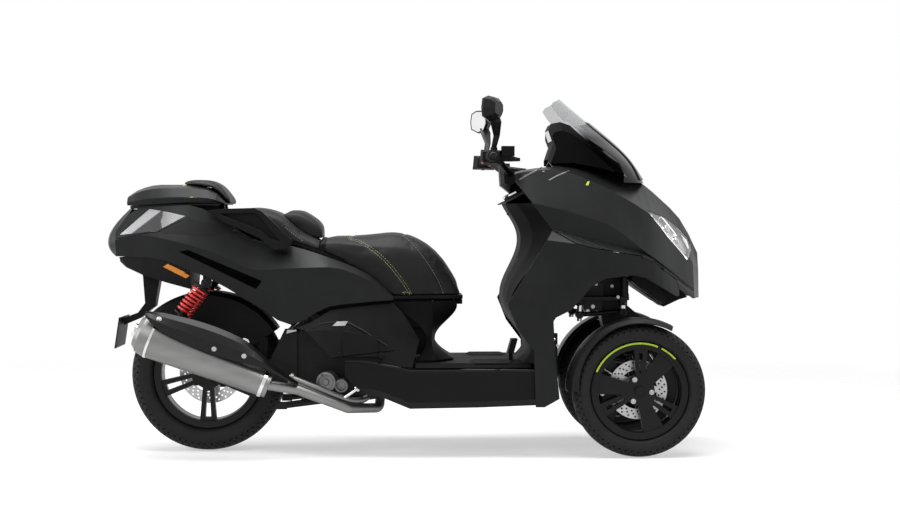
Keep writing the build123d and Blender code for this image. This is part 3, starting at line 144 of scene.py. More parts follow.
def coating(name, colours, roughness, cloud=9.0, grain=None, height=0.0004, strength=0.35, stretch=(1, 1, 1), edge=0.0,
            gloss=0.5, **sockets):
    """Material whose colour and roughness wander, with a fine grain in the bump and softened edges."""
    between = [(low + high) / 2 for low, high in zip(*colours)]
    made = material(name, between, sum(roughness) / 2, Specular_IOR_Level=gloss, **sockets)
    shader = made.node_tree.nodes["Principled BSDF"]
    clouds = texture(made, "ShaderNodeTexNoise", cloud, stretch, Detail=6.0, Roughness=0.62)
    join(made, ramp(made, clouds.outputs["Fac"], *colours), shader.inputs["Base Color"])
    join(made, spread(made, clouds.outputs["Fac"], *roughness), shader.inputs["Roughness"])
    if grain:
        fine = texture(made, "ShaderNodeTexNoise", grain, stretch, Detail=3.0)
        bump = add(made, "ShaderNodeBump", Strength=strength, Distance=height)
        join(made, fine.outputs["Fac"], bump.inputs["Height"])
        join(made, bump.outputs["Normal"], shader.inputs["Normal"])
        if edge:
            rounded = add(made, "ShaderNodeBevel", Radius=edge, samples=4)
            join(made, rounded.outputs["Normal"], bump.inputs["Normal"])
    return made


PAINT_GRAIN = dict(grain=2600.0, height=0.00006, strength=0.2)
PLASTIC_GRAIN = dict(grain=1500.0, height=0.0002, strength=0.3, edge=0.003)
CASTING_GRAIN = dict(cloud=24.0, grain=800.0, height=0.0004)
CLEAR_COAT = dict(Coat_Weight=1.0, Coat_Roughness=0.02)

PAINT = coating(
    "matte_grey_paint", greys(0.008, 0.012, 0.03), (0.36, 0.44), **PAINT_GRAIN, edge=0.003,
    Coat_Weight=0.04, Coat_Roughness=0.3, Metallic=0.3, gloss=0.16)
# A darker copy of the grey paint, used as painted shade on a lower tail facet.
PAINTED_SHADE_GREY = coating("painted_shade_grey", greys(0.006, 0.009), (0.38, 0.48), **PAINT_GRAIN, gloss=0.14)
# A paler copy of the grey paint, used as a painted highlight along the cockpit edges.
PAINTED_HIGHLIGHT_GREY = coating("painted_highlight_grey", greys(0.10, 0.14), (0.30, 0.4), **PAINT_GRAIN, Metallic=0.3)
PLASTIC = coating("grained_black_plastic", greys(0.002, 0.004), (0.44, 0.56), **PLASTIC_GRAIN, gloss=0.12)
MATT_PLASTIC = coating("matt_black_plastic", greys(0.003, 0.006), (0.54, 0.66), **PLASTIC_GRAIN, gloss=0.05)
SATIN_BLACK = coating(
    "satin_black_plastic", greys(0.003, 0.006), (0.28, 0.38), grain=2400.0, height=0.00008, strength=0.2, edge=0.002,
    gloss=0.2)
GLOSS_BLACK = coating("gloss_black", greys(0.003, 0.005), (0.12, 0.2), gloss=0.25)
# Near-black with no sheen: painted shade in tread grooves, tail slots, side panel lines and the muffler outlet.
GROOVE_SHADE = coating("painted_groove_shade", greys(0.001, 0.003), (0.6, 0.8), gloss=0.0)
RUBBER = coating(
    "tyre_rubber", greys(0.007, 0.013), (0.58, 0.78), cloud=26.0, grain=900.0, height=0.0003, gloss=0.2)
GRIP = coating(
    "grip_rubber", greys(0.004, 0.008), (0.6, 0.75), cloud=40.0, grain=1200.0, height=0.0003, gloss=0.16)
SEAT_COVER = coating(
    "black_seat_cover", greys(0.004, 0.008), (0.44, 0.58), cloud=30.0, grain=520.0, height=0.0005, strength=0.4,
    gloss=0.2)
CAST = coating(
    "cast_black_wheel", greys(0.004, 0.007), (0.26, 0.38), grain=1300.0, height=0.0001, strength=0.2, edge=0.002,
    Metallic=0.2, gloss=0.2)
FRAME_PAINT = coating(
    "black_frame_paint", greys(0.004, 0.007), (0.34, 0.48), grain=1100.0, height=0.0001, edge=0.002,
    Metallic=0.2, gloss=0.2)
ENGINE_BLACK = coating(
    "black_engine_casting", greys(0.004, 0.010), (0.42, 0.6), **CASTING_GRAIN, edge=0.003,
    Metallic=0.4, gloss=0.25)
ALLOY = coating("cast_alloy", greys(0.10, 0.2), (0.42, 0.6), **CASTING_GRAIN, edge=0.002, Metallic=0.8)
STEEL = coating(
    "brushed_steel", greys(0.34, 0.46), (0.24, 0.36), cloud=60.0, grain=700.0, height=0.0001, stretch=(1, 0.1, 1),
    Metallic=1.0)
MUFFLER = coating(
    "satin_muffler_steel", greys(0.17, 0.24, -0.01), (0.38, 0.48), cloud=14.0, grain=1500.0, height=0.00006,
    stretch=(0.2, 1, 1), Metallic=1.0)
CHROME = coating("hard_chrome", greys(0.55, 0.66), (0.05, 0.12), cloud=30.0, Metallic=1.0)
MIRROR = coating("mirror_glass", greys(0.84, 0.88), (0.01, 0.03), Metallic=1.0)
REFLECTOR = coating("bright_lamp_body", greys(0.30, 0.42), (0.16, 0.26), cloud=20.0, Metallic=1.0)
SPRING_RED = coating(
    "red_spring_paint", ((0.48, 0.008, 0.010), (0.62, 0.018, 0.016)), (0.24, 0.36), cloud=40.0, Coat_Weight=0.4)
RED = coating("red_button", ((0.5, 0.008, 0.008), (0.62, 0.016, 0.014)), (0.24, 0.36), cloud=90.0, Coat_Weight=0.3)
LIME = coating("lime_tape", ((0.38, 0.56, 0.015), (0.46, 0.64, 0.03)), (0.34, 0.46), cloud=40.0)
ORANGE = coating(
    "orange_reflector", ((0.62, 0.17, 0.004), (0.82, 0.30, 0.015)), (0.08, 0.16), cloud=160.0, gloss=0.3)
THREAD = coating("lime_thread", ((0.30, 0.36, 0.12), (0.44, 0.50, 0.22)), (0.6, 0.8), cloud=600.0)
PALE_THREAD = coating("grey_thread", greys(0.18, 0.30), (0.6, 0.8), cloud=600.0)
DISPLAY = coating("display_glass", greys(0.005, 0.008), (0.05, 0.09), Coat_Weight=0.6, Coat_Roughness=0.02)
LENS = coating("clear_lens", greys(0.86, 0.94), (0.02, 0.04), cloud=6.0, Alpha=0.14, **CLEAR_COAT)
EYE = coating("lamp_unit_glass", greys(0.30, 0.42, 0.04), (0.03, 0.07), cloud=30.0, **CLEAR_COAT)
BLADE = coating(
    "light_blade", greys(0.84, 0.94), (0.24, 0.36), cloud=60.0, grain=900.0, height=0.0002,
    Emission_Color=(1, 1, 1, 1), Emission_Strength=0.9)
SMOKED = coating("smoked_screen", greys(0.13, 0.19, 0.03), (0.03, 0.06), cloud=4.0, gloss=0.3)
SCREEN_CLEARS = (1.105, 1.15)


def shaded_screen(made):
    """Screen that is black at its foot and clears towards the top."""
    shader = made.node_tree.nodes["Principled BSDF"]
    coords = add(made, "ShaderNodeTexCoord")
    parts = add(made, "ShaderNodeSeparateXYZ")
    join(made, coords.outputs["Object"], parts.inputs["Vector"])
    height = spread(made, parts.outputs["Z"], start=SCREEN_CLEARS[0], end=SCREEN_CLEARS[1])
    join(made, spread(made, height, 1.0, 0.3), shader.inputs["Alpha"])
    join(made, ramp(made, height, grey(0.003), grey(0.2, 0.03), 0.0, 1.0), shader.inputs["Base Color"])


shaded_screen(SMOKED)
TAIL_LAMP_SPLIT = [(-0.9285, 0.7826), (-0.8415, 0.8487)]


def tail_lens():
    """Lamp lens that is smoked in front and clear over bright prisms behind."""
    made = material("tail_lens", grey(0.2), 0.06, Coat_Weight=1.0, Coat_Roughness=0.03)
    shader = made.node_tree.nodes["Principled BSDF"]
    (x0, z0), (x1, z1) = TAIL_LAMP_SPLIT
    across = Vector((z1 - z0, 0, x0 - x1)).normalized()
    coords = add(made, "ShaderNodeTexCoord")
    side = add(made, "ShaderNodeVectorMath", operation="DOT_PRODUCT")
    side.inputs[1].default_value = across
    join(made, coords.outputs["Object"], side.inputs[0])
    start = across.dot(Vector((x0, 0, z0)))
    share = spread(made, side.outputs["Value"], start=start - 0.004, end=start + 0.001)
    prisms = texture(made, "ShaderNodeTexWave", 90.0, (1, 0.2, 1), Distortion=0.4)
    bright = ramp(made, prisms.outputs["Fac"], (0.2, 0.2, 0.21), (0.5, 0.5, 0.51), 0.1, 0.9)
    mixed = add(made, "ShaderNodeMix", data_type="RGBA")
    join(made, share, mixed.inputs["Factor"])
    join(made, bright, mixed.inputs[6])
    mixed.inputs[7].default_value = (0.012, 0.012, 0.013, 1)
    join(made, mixed.outputs[2], shader.inputs["Base Color"])
    bump = add(made, "ShaderNodeBump", Strength=0.2, Distance=0.001)
    join(made, prisms.outputs["Fac"], bump.inputs["Height"])
    join(made, bump.outputs["Normal"], shader.inputs["Normal"])
    return made


TAIL_LENS = tail_lens()

FINISH = {
    PAINT: ("front_cowl", "leg_shields", "mudguard_right", "mudguard_left", "tail_panels", "luggage_lid"),
    MATT_PLASTIC: ("inner_shield", "seat_pillar", "floor_board", "dash_hood"),
    PLASTIC: (
        "wheel_liner", "sills", "side_panels", "brake_pedal",
        "undertail", "grab_handles", "storage_tub", "seat_base", "footrest_right", "footrest_left", "handlebar",
        "controls"),
    GLOSS_BLACK: ("screen_trim",),
    SATIN_BLACK: ("mirrors", "heat_shield"),
    RUBBER: ("front_tyre_right", "front_tyre_left", "rear_tyre"),
    GRIP: ("grips",),
    CAST: ("front_rim_right", "front_rim_left", "rear_rim"),
    STEEL: ("front_disc_right", "front_disc_left", "rear_disc"),
    FRAME_PAINT: ("knuckle_right", "knuckle_left", "wishbones", "main_frame", "shock_bodies", "centre_stand"),
    ENGINE_BLACK: ("power_unit",),
    MUFFLER: ("exhaust",),
    CHROME: ("front_dampers",),
    SPRING_RED: ("shock_springs",),
    SEAT_COVER: ("rider_cushion", "passenger_cushion", "backrest_pad"),
    MIRROR: ("mirror_glasses",),
    DISPLAY: ("display",),
    SMOKED: ("windscreen",),
    LENS: ("headlamp_lenses",),
    TAIL_LENS: ("tail_lamps",),
    REFLECTOR: ("headlamp_bowls",),
}


def smooth(mesh, angle_deg):
    """Smooth shading, with edges sharper than the angle kept."""
    mesh.polygons.foreach_set("use_smooth", [True] * len(mesh.polygons))
    mesh.set_sharp_from_angle(angle=radians(angle_deg))


def soften(mesh, angle_deg):
    """Shading normals that run on across the seams between a panel's facets and stop at its creases."""
    mesh.polygons.foreach_set("use_smooth", [True] * len(mesh.polygons))
    limit = cos(radians(angle_deg))
    spots = [tuple(round(c * 20000) for c in v.co) for v in mesh.vertices]
    facets = [(p.normal.copy(), p.area) for p in mesh.polygons]
    around = {}
    for p in mesh.polygons:
        for i in p.vertices:
            around.setdefault(spots[i], []).append(p.index)
    normals = []
    for p in mesh.polygons:
        own = facets[p.index][0]
        for i in p.vertices:
            total = Vector()
            for k in around[spots[i]]:
                facing, area = facets[k]
                if own.dot(facing) > limit:
                    total += facing * area
            normals.append(total.normalized() if total.length > 0 else own)
    mesh.normals_split_custom_set(normals)


PANELS = (
    "front_cowl", "leg_shields", "tail_panels", "luggage_lid", "mudguard_right", "mudguard_left", "inner_shield",
    "windscreen", "screen_trim", "side_panels", "dash_hood", "sills", "wheel_liner", "seat_pillar",
    "headlamp_lenses", "tail_lamps", "heat_shield", "undertail", "mirrors", "grab_handles")
PANEL_CREASE_DEG = 13
SHARP_EDGE_DEG = 24

for finish, names in FINISH.items():
    for name in names:
        NODES[name].data.materials.clear()
        NODES[name].data.materials.append(finish)
        if name in PANELS:
            soften(NODES[name].data, PANEL_CREASE_DEG)
        else:
            smooth(NODES[name].data, SHARP_EDGE_DEG)


# Lines of sight, for pieces placed on what the photograph shows

PICTURE = (900, 506)
CAMERA_AT = Vector((-0.034, -5.6, 0.80))
CAMERA_TURN = Euler((radians(90 - 1.03), 0, radians(-2.01)))
LENS_MM = 62.6
SENSOR_MM = 36.0
SIDE_DISTANCE = 5.35


def sight(point):
    """Direction from the camera through a point of the picture."""
    scale = SENSOR_MM / LENS_MM / PICTURE[0]
    ray = Vector(((point[0] - PICTURE[0] / 2) * scale, (PICTURE[1] / 2 - point[1]) * scale, -1))
    return (CAMERA_TURN.to_matrix() @ ray).normalized()


def skin_of(*objects):
    """Surface of objects at rest, for laying pieces on it."""
    whole = bmesh.new()
    for obj in objects:
        whole.from_mesh(obj.data)
    made = BVHTree.FromBMesh(whole)
    whole.free()
    return made


def skin(*names):
    """Surface of CAD nodes."""
    return skin_of(*(NODES[name] for name in names))


def laid(surface, points):
    """Places and normals where picture points fall on a surface."""
    spots = []
    for point in points:
        place, normal = surface.ray_cast(CAMERA_AT, sight(point))[:2]
        if place is None:
            place, normal = surface.find_nearest(CAMERA_AT + sight(point) * SIDE_DISTANCE)[:2]
        spots.append((place, normal))
    return spots


def far_side(spots):
    """Places and normals mirrored to the other side of the vehicle."""
    return [(Vector((p.x, -p.y, p.z)), Vector((n.x, -n.y, n.z))) for p, n in spots]


def flowing(points, count):
    """Points along a smooth curve through the given ones."""
    ends = [points[0], *points, points[-1]]
    made = []
    for k in range(count + 1):
        t = k / count * (len(points) - 1)
        i = min(int(t), len(points) - 2)
        u = t - i
        a, b, c, d = (Vector(p) for p in ends[i:i + 4])
        bend = (2 * a - 5 * b + 4 * c - d) * u * u + (3 * b - a - 3 * c + d) * u ** 3
        made.append(0.5 * (2 * b + (c - a) * u + bend))
    return made


# Meshes

class Shape:
    """Vertices and faces of one piece, gathered from simple forms."""

    def __init__(self):
        self.verts = []
        self.faces = []

    def add(self, verts, faces):
        base = len(self.verts)
        self.verts += [Vector(v) for v in verts]
        self.faces += [[base + i for i in face] for face in faces]
        return self

    def loft(self, rings, caps=True, loop=False):
        """Skin over closed rings of equal length."""
        count = len(rings[0])
        verts = [v for ring in rings for v in ring]
        faces = []
        for k in range(len(rings) if loop else len(rings) - 1):
            low, high = k * count, (k + 1) % len(rings) * count
            for i in range(count):
                j = (i + 1) % count
                faces.append((low + i, low + j, high + j, high + i))
        if caps and not loop:
            faces.append(tuple(range(count))[::-1])
            faces.append(tuple(range(len(verts) - count, len(verts))))
        return self.add(verts, faces)

    def turned(self, place, axis, profile, count=20, caps=True):
        """Form turned round an axis, from (along, radius) points."""
        turn = Vector((0, 0, 1)).rotation_difference(Vector(axis)).to_matrix()
        angles = [2 * pi * i / count for i in range(count)]
        rings = [[Vector(place) + turn @ Vector((r * cos(a), r * sin(a), along)) for a in angles]
                 for along, r in profile]
        return self.loft(rings, caps)

    def swept(self, points, radius, count=12):
        """Round bar along a line of points."""
        rings = []
        side = None
        for k, point in enumerate(points):
            along = (Vector(points[min(k + 1, len(points) - 1)]) - Vector(points[max(k - 1, 0)])).normalized()
            side = along.orthogonal() if side is None else side - along * side.dot(along)
            side.normalize()
            other = along.cross(side)
            rings.append([Vector(point) + radius * (cos(a) * side + sin(a) * other)
                          for a in (2 * pi * i / count for i in range(count))])
        return self.loft(rings)

    def strip(self, spots, width, height, sink=0.0006):
        """Low bead along places on a surface, given with their normals."""
        rings = []
        for k, (place, normal) in enumerate(spots):
            along = (spots[min(k + 1, len(spots) - 1)][0] - spots[max(k - 1, 0)][0]).normalized()
            across = along.cross(normal).normalized()
            taper = width if not callable(width) else width(k / (len(spots) - 1))
            rings.append([place + across * (taper * u) + normal * (height * v - sink * (v == 0))
                          for u, v in ((-0.5, 0), (-0.36, 0.7), (-0.14, 1), (0.14, 1), (0.36, 0.7), (0.5, 0))])
        return self.loft(rings)

    def patch(self, surface, corners, height, cells=(8, 4), sink=0.0006):
        """Thin plate over four picture points, following the surface under it."""
        columns, rows = cells
        a, b, c, d = (Vector(p) for p in corners)
        rings = []
        for i in range(columns + 1):
            upper, lower = a.lerp(b, i / columns), d.lerp(c, i / columns)
            spots = laid(surface, [upper.lerp(lower, j / rows) for j in range(rows + 1)])
            rings.append([p + n * height for p, n in spots] + [p - n * sink for p, n in spots[::-1]])
        return self.loft(rings)

    def bolt(self, place, axis, radius, height):
        """Socket-headed screw with a washer."""
        return self.turned(place, axis, [
            (-0.001, radius * 1.45), (height * 0.2, radius * 1.45), (height * 0.2, radius), (height * 0.9, radius),
            (height, radius * 0.9), (height, radius * 0.55), (height * 0.55, radius * 0.5)], 12)

    def mirrored(self):
        """The same forms and their image on the other side of the vehicle."""
        verts = [Vector((v.x, -v.y, v.z)) for v in self.verts]
        return self.add(verts, [list(face)[::-1] for face in self.faces])

    def piece(self, name, finish, angle, body="chassis"):
        """The gathered forms as an object on a body."""
        mesh = bpy.data.meshes.new(name)
        mesh.from_pydata(self.verts, [], self.faces)
        whole = bmesh.new()
        whole.from_mesh(mesh)
        bmesh.ops.recalc_face_normals(whole, faces=whole.faces)
        whole.to_mesh(mesh)
        whole.free()
        return dressed(name, body, finish, mesh, angle)


def placed(name, data):
    """New object in the scene."""
    obj = bpy.data.objects.new(name, data)
    bpy.context.collection.objects.link(obj)
    return obj


def dressed(name, body, finish, mesh, angle):
    """Object with a finish that rides on a body."""
    obj = placed(name, mesh)
    mesh.materials.clear()
    mesh.materials.append(finish)
    smooth(mesh, angle)
    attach(obj, body)
    return obj


def bead(name, surface, line, count, width, height, finish, angle=50):
    """Low strip along a picture line on the chassis, on both sides."""
    Shape().strip(laid(surface, flowing(line, count)), width, height).mirrored().piece(name, finish, angle)


def plate(name, body, surface, corners, height, cells, finish):
    """Thin plate over four picture points, on both sides."""
    Shape().patch(surface, corners, height, cells).mirrored().piece(name, finish, 30, body)


def middle(node):
    """Middle of a node's box."""
    low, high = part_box(node)
    return (Vector(low) + Vector(high)) / 2


# Wheels

def tyre_section(half, bead, rim_r, radius):
    """Outline of half a tyre from the bead to the crown, as (y, r)."""
    tall = radius - rim_r
    points = [
        (bead, rim_r + 0.002), (half * 0.86, rim_r + 0.14 * tall), (half, rim_r + 0.5 * tall),
        (half * 0.94, rim_r + 0.72 * tall), (half * 0.72, radius - 0.1 * tall),
        (half * 0.38, radius - 0.025 * tall), (0, radius)]
    return flowing(points, 42)


def spoke(turn):
    """Direction from an axle at an angle from straight ahead."""
    return Vector((cos(turn), 0, sin(turn)))


TREAD_DEPTH = 0.0045
TREAD_STEPS = 22
TREAD_STARTS = 0.42
BEAD_INSET = 0.0125
WALL_RIBS = ((0.16, 0.22), (0.40, 0.44))


def tread(share, turn, pitch):
    """Depth of the tread's slanting grooves, from 0 to 1; share runs from 0 at the crown to 1 or -1 at the wall."""
    phase = turn / pitch + (0.5 if share > 0 else 0.0)
    share = abs(share)
    wave = 0.26 * sin(4.6 * pi * share)
    depth = 0.0
    for start, first, last in ((0.0, 0.08, 0.97), (0.5, 0.36, 0.93)):
        value = phase + start - 0.7 * share - wave
        near = abs(value % 1 - 0.5)
        wide = 0.07 * min(1.0, (share - first) / 0.06, (last - share) / 0.06)
        if near < wide:
            depth = max(depth, min(1.0, (wide - near) / 0.03))
    return depth


def tyre(node, rim_node, rim_width, body, pitches):
    """Road tyre with grooved tread, painted shade in the grooves and ribbed walls in place of the plain one."""
    low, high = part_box(node)
    axle = middle(node)
    radius, half = (high[2] - low[2]) / 2, (high[1] - low[1]) / 2
    rim_low, rim_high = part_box(rim_node)
    rim_r = (rim_high[2] - rim_low[2]) / 2
    bead_in = rim_width / 2 - BEAD_INSET
    wall = tyre_section(half, bead_in, rim_r, radius)
    start = next(i for i, p in enumerate(wall) if p.y > rim_r + TREAD_STARTS * (radius - rim_r))
    last = len(wall) - 1
    shares = [(last - i) / (last - start) for i in range(len(wall))]
    section = [(p.x, p.y) for p in wall] + [(-p.x, p.y) for p in wall[-2::-1]]
    shares = shares + [-share for share in shares[-2::-1]] + [2, 2]
    section += [(-bead_in, rim_r - 0.012), (bead_in, rim_r - 0.012)]
    steps = pitches * TREAD_STEPS
    rings = []
    cuts = []
    for k in range(steps):
        turn = 2 * pi * k / steps
        ring = []
        row = []
        for (y, r), share in zip(section, shares):
            rise = (r - rim_r) / (radius - rim_r)
            rib = 0.0008 if any(start < rise < end for start, end in WALL_RIBS) else 0.0
            cut = TREAD_DEPTH * tread(share, turn, 2 * pi / pitches) if abs(share) < 1 else 0.0
            out = r - cut * min(1.0, 1.2 - abs(share))
            side = y + copysign(rib - cut * max(0.0, abs(share) - 0.35), y)
            ring.append(axle + Vector((out * cos(turn), side, out * sin(turn))))
            row.append(cut)
        rings.append(ring)
        cuts.append(row)
    made = Shape().loft(rings, loop=True).piece("tread_" + node, RUBBER, 28, body)
    # Faces deep in the grooves take a darker finish as painted shade.
    made.data.materials.append(GROOVE_SHADE)
    inside = []
    for row, following in zip(cuts, cuts[1:] + cuts[:1]):
        sums = [a + b for a, b in zip(row, following)]
        inside += [int(a + b > 2 * TREAD_DEPTH) for a, b in zip(sums, sums[1:] + sums[:1])]
    made.data.polygons.foreach_set("material_index", inside)
    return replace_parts(made, node)


HOLE_ROWS = (0.74, 0.83, 0.92)


def drilled_disc(node, body, rows, per_row):
    """Brake disc with drilled holes on a five-armed carrier."""
    low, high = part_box(node)
    centre = middle(node)
    radius, thick = (high[2] - low[2]) / 2, high[1] - low[1]
    inner = 0.66 * radius
    data = bpy.data.curves.new(node + "_outline", "CURVE")
    data.dimensions = "2D"
    data.fill_mode = "BOTH"
    data.extrude = thick / 2

    def loop(points):
        spline = data.splines.new("POLY")
        spline.points.add(len(points) - 1)
        for target, (x, y) in zip(spline.points, points):
            target.co = (x, y, 0, 1)
        spline.use_cyclic_u = True

    def arc(r, start, end, count, x=0.0, y=0.0):
        turns = [start + (end - start) * i / count for i in range(count + 1)]
        return [(x + r * cos(t), y + r * sin(t)) for t in turns]

    whole = 2 * pi
    loop(arc(radius, 0, whole, 120)[:-1])
    for arm in range(5):
        start, end = whole * arm / 5, whole * (arm + 1) / 5
        loop(arc(inner, start + 0.14, end - 0.14, 14) + arc(0.5 * radius, end - 0.3, start + 0.3, 8))
    loop(arc(0.036, 0, whole, 40)[:-1])
    for row, r in enumerate(rows):
        for k in range(per_row):
            turn = whole * (k + row * 0.34) / per_row
            loop(arc(0.0034, 0, whole, 10, r * radius * cos(turn), r * radius * sin(turn))[:-1])
    holder = placed(node + "_outline", data)
    mesh = bpy.data.meshes.new_from_object(holder)
    bpy.data.objects.remove(holder)
    mesh.transform(Matrix.Translation(centre) @ Matrix.Rotation(radians(90), 4, "X"))
    made = dressed("drilled_" + node, body, STEEL, mesh, 30)
    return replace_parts(made, node)


def rim_stripe(side):
    """Two arcs of coloured tape over the top of a front wheel's outer lip."""
    low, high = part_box(f"front_rim_{side}")
    axle = FRONT_AXLE[side]
    outward = -1 if side == "right" else 1
    face = low[1] if side == "right" else high[1]
    radius = (high[2] - low[2]) / 2
    tape = Shape()
    for start, end in ((42, 63), (68, 156)):
        turns = [radians(start + (end - start) * i / 40) for i in range(41)]
        rings = []
        for turn in turns:
            ring = []
            for inset, y in ((0.0065, 0.0006), (0.0006, 0.0006), (0.0006, -0.0004), (0.0065, -0.0004)):
                ring.append(Vector((axle.x, face + outward * y, axle.z)) + spoke(turn) * (radius - inset))
            rings.append(ring)
        tape.loft(rings)
    tape.piece(f"rim_stripe_{side}", LIME, 40, f"front_wheel_{side}")


def wheel_hardware(side):
    """Hub screws and valve of a front wheel."""
    axle = FRONT_AXLE[side]
    outward = Vector((0, -1 if side == "right" else 1, 0))
    surface = skin(f"front_rim_{side}")
    bits = Shape()
    for turn in (114, -7, -121):
        across = spoke(radians(turn)) * 0.042
        place, normal = surface.ray_cast(axle + across + outward * 0.3, -outward)[:2]
        bits.bolt(place, outward, 0.0062, 0.006)
    across = spoke(2.6)
    place, normal = surface.ray_cast(axle + across * 0.05 + outward * 0.06, across)[:2]
    bits.turned(place if place else axle + across * 0.14, -across, [
        (-0.004, 0.0055), (0.006, 0.0055), (0.008, 0.003), (0.022, 0.003), (0.022, 0.0042), (0.034, 0.0042),
        (0.035, 0.003)], 12)
    bits.piece(f"hub_hardware_{side}", STEEL, 30, f"front_wheel_{side}")


# Seat and pads

def island(source, index):
    """One separate solid of a node as a mesh, the largest first."""
    whole = bmesh.new()
    whole.from_mesh(source.data)
    bmesh.ops.remove_doubles(whole, verts=whole.verts, dist=1e-6)
    left = set(whole.verts)
    groups = []
    while left:
        stack = [left.pop()]
        group = set(stack)
        while stack:
            for edge in stack.pop().link_edges:
                for vert in edge.verts:
                    if vert in left:
                        left.remove(vert)
                        group.add(vert)
                        stack.append(vert)
        groups.append(group)
    groups.sort(key=len, reverse=True)
    keep = groups[index]
    bmesh.ops.delete(whole, geom=[v for v in whole.verts if v not in keep], context="VERTS")
    mesh = bpy.data.meshes.new(f"{source.name}_{index}")
    whole.to_mesh(mesh)
    whole.free()
    return mesh


def rested(obj, kind):
    """Object with one modifier applied."""
    shown = bpy.context.evaluated_depsgraph_get()
    mesh = bpy.data.meshes.new_from_object(obj.evaluated_get(shown))
    obj.modifiers.remove(obj.modifiers[kind])
    old = obj.data
    obj.data = mesh
    bpy.data.meshes.remove(old)


COVER_GRID = 0.006
COVER_INSET = 0.003
COVER_STEPS = 20


def pad(name, node, index, cap, flat):
    """Padded cover swollen from a solid of a node; flat names the outward directions that stay where they are."""
    obj = placed(name, island(NODES[node], index))
    grid = obj.modifiers.new("grid", "REMESH")
    grid.mode = "VOXEL"
    grid.voxel_size = COVER_GRID
    rested(obj, "grid")
    start = [v.co.copy() for v in obj.data.vertices]
    outward = [v.normal.copy() for v in obj.data.vertices]
    for vert, normal in zip(obj.data.vertices, outward):
        vert.co -= normal * COVER_INSET
    cloth = obj.modifiers.new("cover", "CLOTH")
    cloth.settings.quality = 5
    cloth.settings.mass = 0.35
    cloth.settings.tension_stiffness = 12
    cloth.settings.compression_stiffness = 12
    cloth.settings.bending_stiffness = 1.5
    cloth.settings.use_pressure = True
    cloth.settings.uniform_pressure_force = 4
    cloth.settings.effector_weights.gravity = 0
    cloth.point_cache.frame_start = 1
    cloth.point_cache.frame_end = COVER_STEPS
    for step in range(1, COVER_STEPS + 1):
        bpy.context.scene.frame_set(step)
    rested(obj, "cover")
    bpy.context.scene.frame_set(1)
    for vert, place, normal in zip(obj.data.vertices, start, outward):
        move = vert.co - place
        if move.length > cap:
            move *= cap / move.length
        if any(normal.dot(Vector(way)) > 0.55 for way in flat):
            move = Vector()
        vert.co = place + move
    ease = obj.modifiers.new("ease", "SMOOTH")
    ease.factor = 0.5
    ease.iterations = 6
    rested(obj, "ease")
    return obj


def sewn(obj, lines, depth, width):
    """Draws a cover in along seam lines given as places."""
    marks = [place for line in lines for place, normal in line]
    index = KDTree(len(marks))
    for k, place in enumerate(marks):
        index.insert(place, k)
    index.balance()
    pulls = []
    for vert in obj.data.vertices:
        place, k, distance = index.find(vert.co)
        pulls.append(depth * exp(-(distance / width) ** 2) if distance < 4 * width else 0.0)
    for vert, pull in zip(obj.data.vertices, pulls):
        vert.co -= vert.normal * pull


def finished_pad(obj, body, finish):
    """Padded piece with one subdivision, riding on its body."""
    fine = obj.modifiers.new("fine", "SUBSURF")
    fine.levels = 1
    fine.render_levels = 1
    rested(obj, "fine")
    obj.data.materials.clear()
    obj.data.materials.append(finish)
    smooth(obj.data, 80)
    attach(obj, body)
    return obj


def stitches(shape, spots, offset, length=0.0055, gap=0.0035, width=0.0016):
    """Row of stitches beside a line on a surface."""
    distance = 0.0
    run = [0.0]
    for (a, na), (b, nb) in zip(spots, spots[1:]):
        run.append(run[-1] + (b - a).length)
    while distance + length < run[-1]:
        dash = []
        for at in (distance, distance + length / 2, distance + length):
            k = max(i for i in range(len(run)) if run[i] <= at)
            k = min(k, len(run) - 2)
            u = (at - run[k]) / max(run[k + 1] - run[k], 1e-9)
            place = spots[k][0].lerp(spots[k + 1][0], u)
            normal = spots[k][1].lerp(spots[k + 1][1], u).normalized()
            across = (spots[k + 1][0] - spots[k][0]).normalized().cross(normal)
            dash.append((place + across * offset, normal))
        shape.strip(dash, width, 0.0009)
        distance += length + gap


def settled(surface, seam):
    """A line moved onto a surface near it."""
    return [surface.find_nearest(place)[:2] for place, normal in seam]


# Picture lines of the seat's seams, from the top to the lower edge
SEAT_SEAM = [(350, 239.2), (358, 240.5), (372, 249), (386, 261), (398, 275), (407, 288), (413.5, 300)]
SEAT_FRONT_SEAM = [(403.5, 235), (412, 242), (423, 255), (432, 268), (440, 282), (446.5, 300)]
LUMBAR_SEAM = [(284, 215), (293, 219), (303, 226), (312, 236)]


